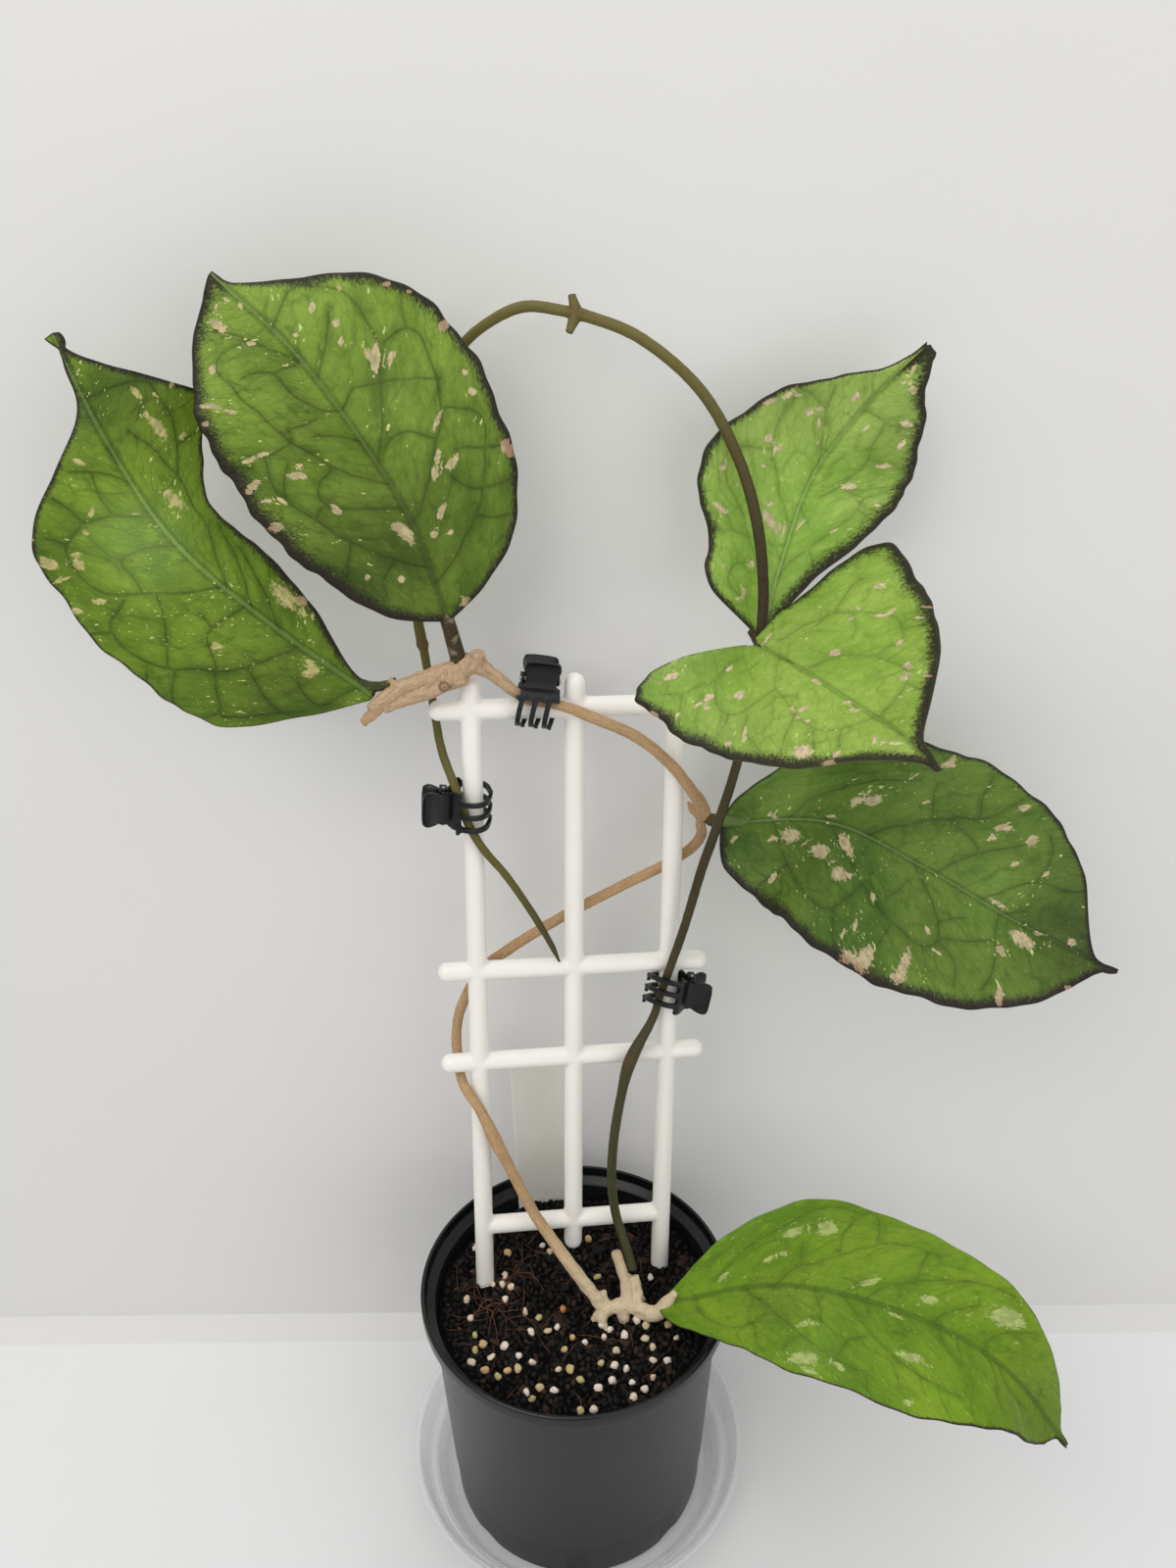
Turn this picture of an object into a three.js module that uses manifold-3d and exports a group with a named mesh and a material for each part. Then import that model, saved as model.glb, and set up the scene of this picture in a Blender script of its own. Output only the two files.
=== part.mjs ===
// Potted hoya: a waxy-leaved climber on a small white trellis, in a dark nursery pot on a clear saucer.
// Millimetres, +Z up. Origin: underside centre of the saucer, on the pot's axis. +Y points away
// from the viewer, +X to the viewer's right.
import * as THREE from 'three';
import { mergeVertices } from 'three/addons/utils/BufferGeometryUtils.js';
import Module from 'manifold-3d';

const wasm = await Module();
wasm.setup();

// ---- driving sizes ----
const GAP = 0.3;                 // air left between neighbouring pieces
const SAUCER_RIM_R = 57.5;
const SAUCER_HEIGHT = 15;
const SAUCER_WALL = 1.2;
const POT_BOTTOM = 2;            // height of the pot's lowest edge above the saucer's underside
const POT_TOP = 90;
const POT_BASE_R = 42.5;
const POT_NECK_R = 46.7;         // outside, just under the lip
const POT_RIM_R = 50;
const POT_WALL = 1.2;
const LIP_HEIGHT = 4.8;
const POT_FLOOR = 5.4;           // inside floor level
const DRAIN_R = 3.6;
const SOIL_TOP = 80;
const BAR_R = 3;                 // trellis bars, round
const UPRIGHT_SPACING = 29.5;
const CROSSBAR_LEVELS = [61.5, 93, 175];
const CROSSBAR_REACH = 41.5;
const TRELLIS_TOP = 185;
const TRELLIS_LEG = 50;          // outer legs below the lowest crossbar
const TRELLIS_YAW = 6.81;        // degrees
const TRELLIS_LEAN = 8.29;
const TRELLIS_ROLL = 1.98;
const LABEL_SIZE = [18, 0.9, 92];
const BLADE_EDGE = 0.7;          // leaf thickness at the margin
const BLADE_BODY = 1.0;
const MIDRIB_DEPTH = 1.5;        // midrib standing out below the blade
const CLIP_HALF_WIDTH = 5.5;
const CLIP_BORE = 5.6;           // radius of the round space between closed prongs
const CLIP_REACH = 7.1;          // hinge to the centre of that space
const CLIP_PLATE = 1.1;
const PIN_R = 0.45;
const COLOURS = {
  saucer: 0xe8eced, pot: 0x1d2023, mix: 0x2a211b, trellis: 0xf4f1ea, label: 0xf2f0e8,
  wood: 0xb8996c, stem: 0x5b5a2c, clip: 0x111315, steel: 0xb9bcc0,
};

// ---- small helpers ----
const V3 = (p) => new THREE.Vector3(p[0], p[1], p[2]);
const rad = (d) => (d * Math.PI) / 180;

function seeded(seed) {
  let s = seed;
  return () => {
    s = (s * 1664525 + 1013904223) % 4294967296;
    return s / 4294967296;
  };
}

// Value at u of a smooth curve through values given at stations.
function along(stations, values, u) {
  const last = stations.length - 1;
  let k = 0;
  while (k < last - 1 && u >= stations[k + 1]) k += 1;
  const slope = (i) => {
    const a = Math.max(i - 1, 0);
    const b = Math.min(i + 1, last);
    return (values[b] - values[a]) / (stations[b] - stations[a]);
  };
  const h = stations[k + 1] - stations[k];
  const t = (u - stations[k]) / h;
  const t2 = t * t;
  const t3 = t2 * t;
  return (2 * t3 - 3 * t2 + 1) * values[k] + (t3 - 2 * t2 + t) * h * slope(k)
    + (3 * t2 - 2 * t3) * values[k + 1] + (t3 - t2) * h * slope(k + 1);
}

function solid(geometry, matrix) {
  const bare = new THREE.BufferGeometry();
  bare.setAttribute('position', geometry.getAttribute('position').clone());
  if (geometry.index) bare.setIndex(geometry.index.clone());
  if (matrix) bare.applyMatrix4(matrix);
  const welded = mergeVertices(bare, 1e-4);
  const at = welded.getAttribute('position');
  const index = [];
  let volume = 0;
  const p = [0, 1, 2].map(() => new THREE.Vector3());
  for (let i = 0; i < welded.index.count; i += 3) {
    const tri = [0, 1, 2].map((j) => welded.index.getX(i + j));
    if (tri[0] === tri[1] || tri[1] === tri[2] || tri[0] === tri[2]) continue;
    index.push(...tri);
    tri.forEach((v, j) => p[j].fromBufferAttribute(at, v));
    volume += p[0].dot(p[1].clone().cross(p[2]));
  }
  if (volume < 0) index.reverse();
  return new wasm.Manifold(new wasm.Mesh({
    numProp: 3,
    vertProperties: new Float32Array(at.array),
    triVerts: new Uint32Array(index),
  }));
}

const join = (list) => list.reduce((sum, one) => sum.add(one));

// Closed skin over a grid of rings: rings[i][j], each ring a closed loop, both ends capped.
function skin(rings) {
  const n = rings[0].length;
  const position = [];
  const index = [];
  rings.forEach((ring) => ring.forEach((p) => position.push(p.x, p.y, p.z)));
  for (let i = 0; i + 1 < rings.length; i += 1) {
    for (let j = 0; j < n; j += 1) {
      const a = i * n + j;
      const b = i * n + ((j + 1) % n);
      index.push(a, b, a + n, b, b + n, a + n);
    }
  }
  [rings[0], rings[rings.length - 1]].forEach((ring, end) => {
    const middle = ring.reduce((s, p) => s.add(p), new THREE.Vector3()).divideScalar(n);
    const c = position.length / 3;
    position.push(middle.x, middle.y, middle.z);
    const base = end ? (rings.length - 1) * n : 0;
    for (let j = 0; j < n; j += 1) {
      const a = base + j;
      const b = base + ((j + 1) % n);
      index.push(...(end ? [a, b, c] : [b, a, c]));
    }
  });
  const geometry = new THREE.BufferGeometry();
  geometry.setAttribute('position', new THREE.Float32BufferAttribute(position, 3));
  geometry.setIndex(index);
  return solid(geometry);
}

// Round stem through [x, y, z, radius] points, with domed ends.
function stem(points, { sides = 8, perSpan = 3, grow = 0 } = {}) {
  const curve = new THREE.CatmullRomCurve3(points.map(V3), false, 'centripetal');
  const spans = points.length - 1;
  const count = spans * perSpan;
  const rings = [];
  let side = new THREE.Vector3(0.3, 1, 0.2);
  const ringAt = (centre, tangent, radius) => {
    side = side.clone().addScaledVector(tangent, -side.dot(tangent)).normalize();
    const up = tangent.clone().cross(side);
    const ring = [];
    for (let j = 0; j < sides; j += 1) {
      const a = (j / sides) * 2 * Math.PI;
      ring.push(centre.clone()
        .addScaledVector(side, Math.cos(a) * radius)
        .addScaledVector(up, Math.sin(a) * radius));
    }
    rings.push(ring);
  };
  for (let i = 0; i <= count; i += 1) {
    const t = i / count;
    const centre = curve.getPoint(t);
    const tangent = curve.getTangent(t).normalize();
    const k = Math.min(Math.floor(t * spans), spans - 1);
    const f = t * spans - k;
    const radius = points[k][3] * (1 - f) + points[k + 1][3] * f + grow;
    if (i === 0) ringAt(centre.clone().addScaledVector(tangent, -0.45 * radius), tangent, radius * 0.62);
    ringAt(centre, tangent, radius);
    if (i === count) ringAt(centre.clone().addScaledVector(tangent, 0.45 * radius), tangent, radius * 0.62);
  }
  return skin(rings);
}

function lathe(profile, segments) {
  const points = profile.map(([r, z]) => new THREE.Vector2(r, z));
  const geometry = new THREE.LatheGeometry(points, segments);
  return solid(geometry, new THREE.Matrix4().makeRotationX(Math.PI / 2));
}

function drum(radius, from, to, sides = 16, endRadius = radius) {
  const axis = to.clone().sub(from);
  const geometry = new THREE.CylinderGeometry(endRadius, radius, axis.length(), sides);
  const turn = new THREE.Quaternion().setFromUnitVectors(new THREE.Vector3(0, 1, 0), axis.clone().normalize());
  const middle = from.clone().add(to).multiplyScalar(0.5);
  return solid(geometry, new THREE.Matrix4().compose(middle, turn, new THREE.Vector3(1, 1, 1)));
}

const group = new THREE.Group();
group.name = 'potted_hoya_priktai';

function part(name, body, colour, roughness = 0.6, metalness = 0) {
  const mesh = body.getMesh();
  const geometry = new THREE.BufferGeometry();
  geometry.setAttribute('position', new THREE.BufferAttribute(new Float32Array(mesh.vertProperties), 3));
  geometry.setIndex(new THREE.BufferAttribute(new Uint32Array(mesh.triVerts), 1));
  geometry.computeVertexNormals();
  const made = new THREE.Mesh(geometry, new THREE.MeshStandardMaterial({ color: colour, roughness, metalness }));
  made.name = name;
  group.add(made);
}

// ---- saucer: ringed floor, stepped wall, rolled rim ----
const saucer = lathe([
  [0, 0], [45, 0], [47, 0.6], [50.5, 6.6], [52.8, 7.2], [56, 13.4], [SAUCER_RIM_R, 13.8],
  [SAUCER_RIM_R, SAUCER_HEIGHT], [55.6, SAUCER_HEIGHT], [51.8, 8.4], [49.6, 7.8], [46.2, 1.9],
  [44.5, SAUCER_WALL], [40.2, SAUCER_WALL], [40.2, 1.7], [38.8, 1.7], [38.8, SAUCER_WALL],
  [26.2, SAUCER_WALL], [26.2, 1.7], [24.8, 1.7], [24.8, SAUCER_WALL], [0, SAUCER_WALL],
], 40);
part('saucer', saucer, COLOURS.saucer, 0.15);

// ---- pot: tapered wall, faint step, rolled lip, footed base with drain holes ----
const LIP_BOTTOM = POT_TOP - LIP_HEIGHT;
const innerRadius = (z) => {
  const low = POT_BASE_R - POT_WALL;
  const high = POT_NECK_R - POT_WALL;
  return low + ((high - low) * (z - POT_BOTTOM)) / (LIP_BOTTOM - POT_BOTTOM);
};
let pot = lathe([
  [0, 4], [POT_BASE_R - 3, 4], [POT_BASE_R - 2.4, POT_BOTTOM], [POT_BASE_R, POT_BOTTOM],
  [POT_BASE_R + 0.5, 17], [POT_BASE_R + 1, 17.6], [POT_NECK_R, LIP_BOTTOM - 0.8], [POT_RIM_R - 0.5, LIP_BOTTOM],
  [POT_RIM_R, LIP_BOTTOM + 0.5], [POT_RIM_R, POT_TOP - 0.5], [POT_RIM_R - 0.5, POT_TOP],
  [POT_RIM_R - 1.3, POT_TOP], [POT_RIM_R - 1.4, LIP_BOTTOM + 1.2],
  [innerRadius(LIP_BOTTOM), LIP_BOTTOM - 0.6], [innerRadius(POT_FLOOR), POT_FLOOR], [0, POT_FLOOR],
], 40);
for (let i = 0; i < 7; i += 1) {
  const reach = i === 6 ? 0 : 27;
  const a = rad(i * 60 + 15);
  const x = Math.cos(a) * reach;
  const y = Math.sin(a) * reach;
  pot = pot.subtract(drum(DRAIN_R, V3([x, y, 3]), V3([x, y, 7]), 14));
}
for (let i = 0; i < 8; i += 1) {
  const a = rad(i * 45);
  const out = V3([Math.cos(a), Math.sin(a), 0]);
  const centre = out.clone().multiplyScalar(POT_BASE_R - 1.5).setZ(-4.4);
  pot = pot.subtract(drum(8, centre.clone().addScaledVector(out, -6), centre.clone().addScaledVector(out, 6), 20));
}
part('pot', pot, COLOURS.pot, 0.45);

// ---- trellis: one moulded ladder of round bars, domed ends, two pointed legs ----
const toTrellis = new THREE.Matrix4();
{
  const yaw = rad(TRELLIS_YAW);
  const lean = rad(TRELLIS_LEAN);
  const roll = rad(TRELLIS_ROLL);
  const across = V3([Math.cos(yaw), Math.sin(yaw), 0]);
  const back = V3([-Math.sin(yaw), Math.cos(yaw), 0]);
  const up = V3([0, 0, Math.cos(lean)]).addScaledVector(back, Math.sin(lean));
  const tiltedUp = up.clone().multiplyScalar(Math.cos(roll)).addScaledVector(across, Math.sin(roll));
  const tiltedAcross = across.clone().multiplyScalar(Math.cos(roll)).add(V3([0, 0, -Math.sin(roll)]));
  const depth = tiltedUp.clone().cross(tiltedAcross).normalize();
  toTrellis.makeBasis(tiltedAcross.normalize(), depth, tiltedUp.normalize());
  toTrellis.setPosition(-0.5, 14, 102);
}
const onTrellis = (u, away, v) => V3([u, away, v]).applyMatrix4(toTrellis);

function bar(from, to, { pointed = false } = {}) {
  const a = onTrellis(...from);
  const b = onTrellis(...to);
  const dir = b.clone().sub(a).normalize();
  const points = pointed
    ? [[-0.1, 0.7], [6, BAR_R], [a.distanceTo(b) - BAR_R, BAR_R]]
    : [[BAR_R, BAR_R], [a.distanceTo(b) - BAR_R, BAR_R]];
  const dome = [[0.5, 0.87], [0.86, 0.5], [1, 0.12]];
  const stations = [...points, ...dome.map(([x, r]) => [a.distanceTo(b) - BAR_R + x * BAR_R, r * BAR_R])];
  if (!pointed) stations.unshift(...dome.map(([x, r]) => [BAR_R - x * BAR_R, r * BAR_R]).reverse());
  const side = onTrellis(0, 1, 0).sub(onTrellis(0, 0, 0));
  const up = dir.clone().cross(side);
  return skin(stations.map(([x, r]) => Array.from({ length: 12 }, (_, j) => {
    const t = ((j + 0.5) / 12) * 2 * Math.PI;
    return a.clone().addScaledVector(dir, x)
      .addScaledVector(side, Math.cos(t) * r)
      .addScaledVector(up, Math.sin(t) * r);
  })));
}
const bars = [
  bar([-UPRIGHT_SPACING, 0, -TRELLIS_LEG], [-UPRIGHT_SPACING, 0, TRELLIS_TOP], { pointed: true }),
  bar([UPRIGHT_SPACING, 0, -TRELLIS_LEG], [UPRIGHT_SPACING, 0, TRELLIS_TOP], { pointed: true }),
  bar([0, 0, -11.5], [0, 0, TRELLIS_TOP]),
  bar([-UPRIGHT_SPACING, 0, 0], [UPRIGHT_SPACING, 0, 0]),
  ...CROSSBAR_LEVELS.map((v) => bar([-CROSSBAR_REACH, 0, v], [CROSSBAR_REACH, 0, v])),
];
const trellis = join(bars);
part('trellis', trellis, COLOURS.trellis, 0.4);

// ---- plant label: thin tag by the back wall, pointed foot ----
const labelFrame = new THREE.Matrix4()
  .makeTranslation(-11.6, 41.5, SOIL_TOP)
  .multiply(new THREE.Matrix4().makeRotationZ(rad(15.6)))
  .multiply(new THREE.Matrix4().makeRotationX(rad(-3)));
const [labelW, labelT, labelL] = LABEL_SIZE;
const labelTop = 64;
const labelOutline = new THREE.Shape([
  [0, labelTop - labelL], [3, labelTop - labelL + 9], [labelW / 2, labelTop - labelL + 22],
  [labelW / 2, labelTop - 2], [labelW / 2 - 2, labelTop], [2 - labelW / 2, labelTop],
  [-labelW / 2, labelTop - 2], [-labelW / 2, labelTop - labelL + 22], [-3, labelTop - labelL + 9],
].map(([x, z]) => new THREE.Vector2(x, z)));
const labelSheet = (grow) => {
  const sheet = new THREE.ExtrudeGeometry(labelOutline, { depth: labelT + 2 * grow, bevelEnabled: false });
  const stand = new THREE.Matrix4().makeRotationX(Math.PI / 2).setPosition(0, labelT / 2 + grow, 0);
  const widen = new THREE.Matrix4().makeScale(1 + grow / 9, 1, 1).setPosition(0, 0, -grow);
  return solid(sheet, labelFrame.clone().multiply(widen).multiply(stand));
};
part('plant_label', labelSheet(0), COLOURS.label, 0.5);

// A stem point given on the trellis: across, away from the viewer, up the bars, radius.
const held = (u, away, v, r) => [...onTrellis(u, away, v).toArray(), r];

// ---- woody vine: crown, twining stem, spur with two fingers ----
const crown = [
  { at: [[9.1, -9.5, 80.6, 1.3], [9.2, -7.4, 83, 2.4], [11.5, -6.6, 84, 2.4], [15, -6.2, 84.2, 2.5],
    [18.6, -6.4, 84.2, 2.6], [21.8, -8, 84, 2.3], [23.6, -9.2, 84, 1.9]] },
  { at: [[9.4, -9, 82, 1.5], [10.4, -11.2, 80.2, 0.9]] },
  { at: [[8.6, -5.6, 84.2, 2], [6.6, -3.4, 87.2, 1.2]] },
  { at: [[17.2, -6, 84.4, 2.2], [16, -1.4, 91, 1.8], [13.4, 2.2, 99, 1.7]] },
  { at: [[19.4, -5.8, 84.4, 2.2], [19.9, -3.2, 87, 2], [19.2, -0.6, 91, 1.7]] },
  { at: [[15.6, -6.8, 83.6, 2.2], [15.4, -8, 77, 2.2], [13, -6, 66, 1.9], [12, -3, 55, 1]] },
];
const twine = [
  [9.2, -6.6, 84, 2.4], [3.4, -3.6, 91.2, 2.3], [-2.4, -0.4, 98.4, 2.3], [-8.2, 3.6, 105.6, 2.1], [-13, 6.6, 112.4, 2],
  [-20.2, 9, 129.7, 2], [-24.6, 9.6, 141.5, 2.2], [-28.6, 11.4, 151.4, 1.9], [-33.2, 15.6, 156.6, 1.9],
  [-35.4, 21.4, 158, 1.9], [-36.4, 26, 162.4, 1.9], [-36.4, 29, 169.4, 1.9], [-34, 29.8, 178.6, 1.9], [-27.6, 32.2, 189.6, 1.9],
  [-20.3, 33, 195.6, 1.9], [-9.8, 36, 201.4, 1.9], [2, 37.4, 208.2, 1.9], [17.7, 41, 215.1, 1.9],
  [30.3, 43.2, 220.8, 1.9], [37.1, 42.6, 226.4, 1.9], [40.3, 39.6, 233.5, 2], [41.2, 36.2, 240.5, 2.7],
  [36.4, 34, 250.2, 2], [30.2, 33.4, 259, 1.9], [20.3, 33.2, 268.2, 1.9], [8, 32.8, 274.6, 1.8],
  held(-4, -4.6, 176.6, 1.55), held(-9, -3.9, 177.7, 1.5), held(-14.2, -3.2, 178.6, 1.55), [-19.6, 34.8, 287, 2], [-25.5, 34.6, 291.6, 3],
];
const spur = [
  { at: [[-25.5, 34.6, 291.6, 3], [-29, 34, 289.2, 3.3], [-36.7, 32.4, 287.4, 2.8], [-44.7, 30.3, 285, 2.4],
    [-51, 27.8, 281, 2.5], [-54.6, 26.4, 278.6, 2]] },
  { at: [[-32, 33.4, 287, 2.4], [-40, 31.6, 282.4, 2.1], [-47.4, 29.6, 280.2, 1.4]] },
  { at: [[-52, 27.4, 280.4, 1.9], [-55.6, 25.6, 275.8, 1.2]] },
  { at: [[-21.6, 34.6, 290.6, 2], [-20.4, 34.4, 292.8, 1.8]] },
  { at: [[-31.6, 32.2, 288.4, 1.5], [-32.2, 30.2, 287.6, 1.1]] },
  { at: [[-45, 30.6, 285.6, 1.4], [-48, 31.4, 287.8, 0.9]] },
  { at: [[40.6, 36.4, 240.5, 2.2], [45, 33.6, 240.8, 1.9]] },
];
const woodyVine = join([
  stem(twine, { sides: 7, perSpan: 2 }),
  ...[...crown, ...spur].map((c) => stem(c.at, { sides: 7, perSpan: 1 })),
]);

// ---- green vine: young stem, held on the right upright, arching over to the left one ----
const greenPath = [
  [18.6, 0.6, 93.4, 1.6], [16.4, 4.2, 100.4, 1.6], [13.6, 8.6, 108.4, 1.5], [12.2, 10.6, 121.1, 1.5],
  [12.8, 12.2, 136.6, 1.5], [15, 15, 151.6, 1.5], [18.2, 18.2, 164.5, 2.1],
  held(24.6, -3.5, 76, 1.3), held(26.1, -3.5, 82.2, 1.25), held(27.7, -4.2, 88.4, 1.3), [34, 25.8, 207.6, 1.35], [39.1, 25.7, 230, 1.4],
  [42.9, 24.3, 245.4, 1.4], [47.3, 23.8, 264.4, 1.4], [50.8, 25, 283, 1.45], [52.3, 27.1, 298.9, 2.2],
  [52.6, 29.2, 313.2, 1.5], [50.1, 31.5, 330.8, 1.5], [44.3, 35.2, 347.5, 1.45], [34.6, 38.3, 362.7, 1.45],
  [19.3, 40.2, 374.7, 1.45], [4.4, 43.1, 379.7, 2.2], [-8.5, 45.8, 381.2, 1.4], [-18.1, 48.1, 377.1, 1.35],
  [-25.4, 50.4, 371, 1.35], [-32.5, 51.9, 359.9, 1.3], [-38.3, 51.3, 339.7, 1.3], [-40.6, 49, 318.9, 1.3],
  [-41, 46, 298.7, 1.35], [-40.2, 45.1, 292.3, 2.1], [-38.9, 43.8, 282.2, 1.35], [-38, 43.4, 272.3, 1.3],
  [-36, 38, 262.8, 1.25],
  held(-34.2, -3, 152, 1.25), held(-32.6, -3.9, 147, 1.25), held(-31, -4.8, 142, 1.25), [-24.4, 25.6, 236.8, 1.2],
  [-18.6, 26.2, 228, 1.15], [-10.6, 26.8, 213, 1.1], [-5.4, 26, 202.4, 0.9], [-3.4, 25, 197.8, 0.4],
];
const greenStubs = [
  [[4.4, 43.1, 379.7, 1.7], [2.6, 40.8, 375.8, 1]],
  [[4.4, 43.1, 379.7, 1.7], [3.4, 43.6, 384, 1]],
  [[52.3, 27.1, 298.9, 1.8], [49.4, 27.2, 302, 0.9]],
];
const greenVine = join([
  stem(greenPath, { sides: 7, perSpan: 2 }),
  ...greenStubs.map((s) => stem(s, { sides: 7, perSpan: 1 })),
]);
const greenRoom = join([
  stem(greenPath, { sides: 7, perSpan: 2, grow: GAP }),
  ...greenStubs.map((s) => stem(s, { sides: 7, perSpan: 1, grow: GAP })),
]);
const woodyBody = woodyVine.subtract(greenRoom);
const woodyRoom = join([
  stem(twine, { sides: 7, perSpan: 2, grow: GAP }),
  ...[...crown, ...spur].map((c) => stem(c.at, { sides: 7, perSpan: 1, grow: GAP })),
]);
part('woody_vine', woodyBody, COLOURS.wood, 0.8);
part('green_vine', greenVine, COLOURS.stem, 0.55);

// ---- leaves: midrib points, half-widths left and right of it at STATIONS ----
const STATIONS = [0, 0.07, 0.2, 0.36, 0.52, 0.68, 0.82, 0.93, 1];
const LEAVES = [
  {
    name: 'leaf_far_left', colour: 0x4f7f2b, seed: 1,
    midrib: [[-52, 28, 284], [-75, 21, 307], [-95, 17, 330], [-108, 18, 355], [-118, 24, 379]],
    left: [1.5, 14, 31, 32, 31.5, 27, 4, 1, 0.6], right: [1.5, 3, 12, 16.5, 15.5, 22.5, 27.5, 10, 0.6],
    sweep: [0.1, -0.2], face: [0.1, -1, 0.2], liftLeft: [0, 0, 0], liftRight: [-30, -45, -20],
    petiole: [[-47.8, 31.3, 287.6, 1.4], [-49, 30.4, 286, 1.6], [-52, 28, 284.2, 1.5], [-58, 26.2, 289.8, 0.9]],
  },
  {
    name: 'leaf_upper_left', colour: 0x4c7d2c, seed: 2,
    midrib: [[-31, 31, 305], [-38, 26, 333], [-50, 23, 357], [-64, 25, 376], [-81, 30, 391]],
    left: [1.5, 15, 26.5, 32, 33, 31, 25, 13.5, 0.6], right: [1.5, 12, 26, 32.5, 34, 28.5, 12.5, 2.5, 0.6],
    sweep: [-0.2, 0.2], face: [0.1, -1, 0.15], liftLeft: [4, -6, -8], liftRight: [4, -6, -8],
    petiole: [[-26, 34.6, 292.6, 2.4], [-27.6, 33.9, 298, 2.2], [-30.2, 32.2, 305, 2.1], [-32.4, 30.2, 311, 1.1]],
  },
  {
    name: 'leaf_upper_right', colour: 0x558a2e, seed: 3,
    midrib: [[53, 33, 298], [59, 40, 319], [66, 44, 339], [78, 43, 357], [91, 39, 372]],
    left: [1.5, 17, 21.5, 30.5, 23.5, 12, 4, 1.2, 0.6], right: [1.5, 4, 11, 22, 23, 16.5, 8.5, 3.5, 0.6],
    sweep: [0.2, 1.2], face: [0.1, -1, 0.1], liftLeft: [2, 8, 10], liftRight: [10, 14, 10],
    petiole: [[52.4, 27.4, 298.6, 1.8], [53, 31, 297.6, 1.7], [53.4, 33.4, 299.4, 1.6], [55.2, 36, 306, 1]],
  },
  {
    name: 'leaf_mid_right', colour: 0x63982f, seed: 4,
    midrib: [[51, 24, 299], [61, 8, 298], [69, -12, 298], [76, -32, 299], [80, -50, 299]],
    left: [1.5, 6, 17.5, 36, 32, 22.5, 4, 1.5, 0.6], right: [1.5, 19, 35, 38.5, 35, 25.5, 11.5, 2, 0.6],
    sweep: [-1.2, 0], face: [-0.6, -0.5, 0.9], liftLeft: [16, 16, 16], liftRight: [25, 25, 25],
    petiole: [[52.2, 26.8, 298.6, 1.8], [52, 23.6, 298.4, 1.6], [55, 17.6, 298.2, 1]],
  },
  {
    name: 'leaf_lower_right', colour: 0x3c6426, seed: 5,
    midrib: [[46, 34, 240], [75, 26, 244], [102, 18, 233], [129, 12, 218], [158, 8, 204]],
    left: [1.5, 7, 16.5, 29, 35, 31.5, 22, 2, 0.6], right: [1.5, 13.5, 26, 35, 36.5, 31, 20, 7, 0.6],
    sweep: [-0.8, 0.1], face: [0, -0.8, 0.6], liftLeft: [8, 8, 8], liftRight: [8, 8, 8],
    petiole: [[45.6, 33.4, 240.8, 1.7], [48, 33, 240.8, 1.7], [54, 31.4, 241.6, 1]],
  },
  {
    name: 'leaf_base_right', colour: 0x5f9e26, seed: 6,
    midrib: [[30, -9, 89], [64, -12, 99], [97, -22, 100], [126, -34, 92], [147, -46, 70]],
    left: [1.5, 6, 18.5, 33, 33, 26, 17, 5.5, 0.6], right: [1.5, 8, 18.5, 31, 32, 22, 12, 1, 0.6],
    sweep: [-1.2, 1.2], face: [0.1, -0.1, 1], liftLeft: [8, 2, -6], liftRight: [8, 2, -6],
    petiole: [[23.6, -9.2, 84, 1.8], [26.4, -10, 85.2, 1.9], [29.4, -9.4, 88.6, 1.7], [37, -9.6, 92, 1]],
  },
];

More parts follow.
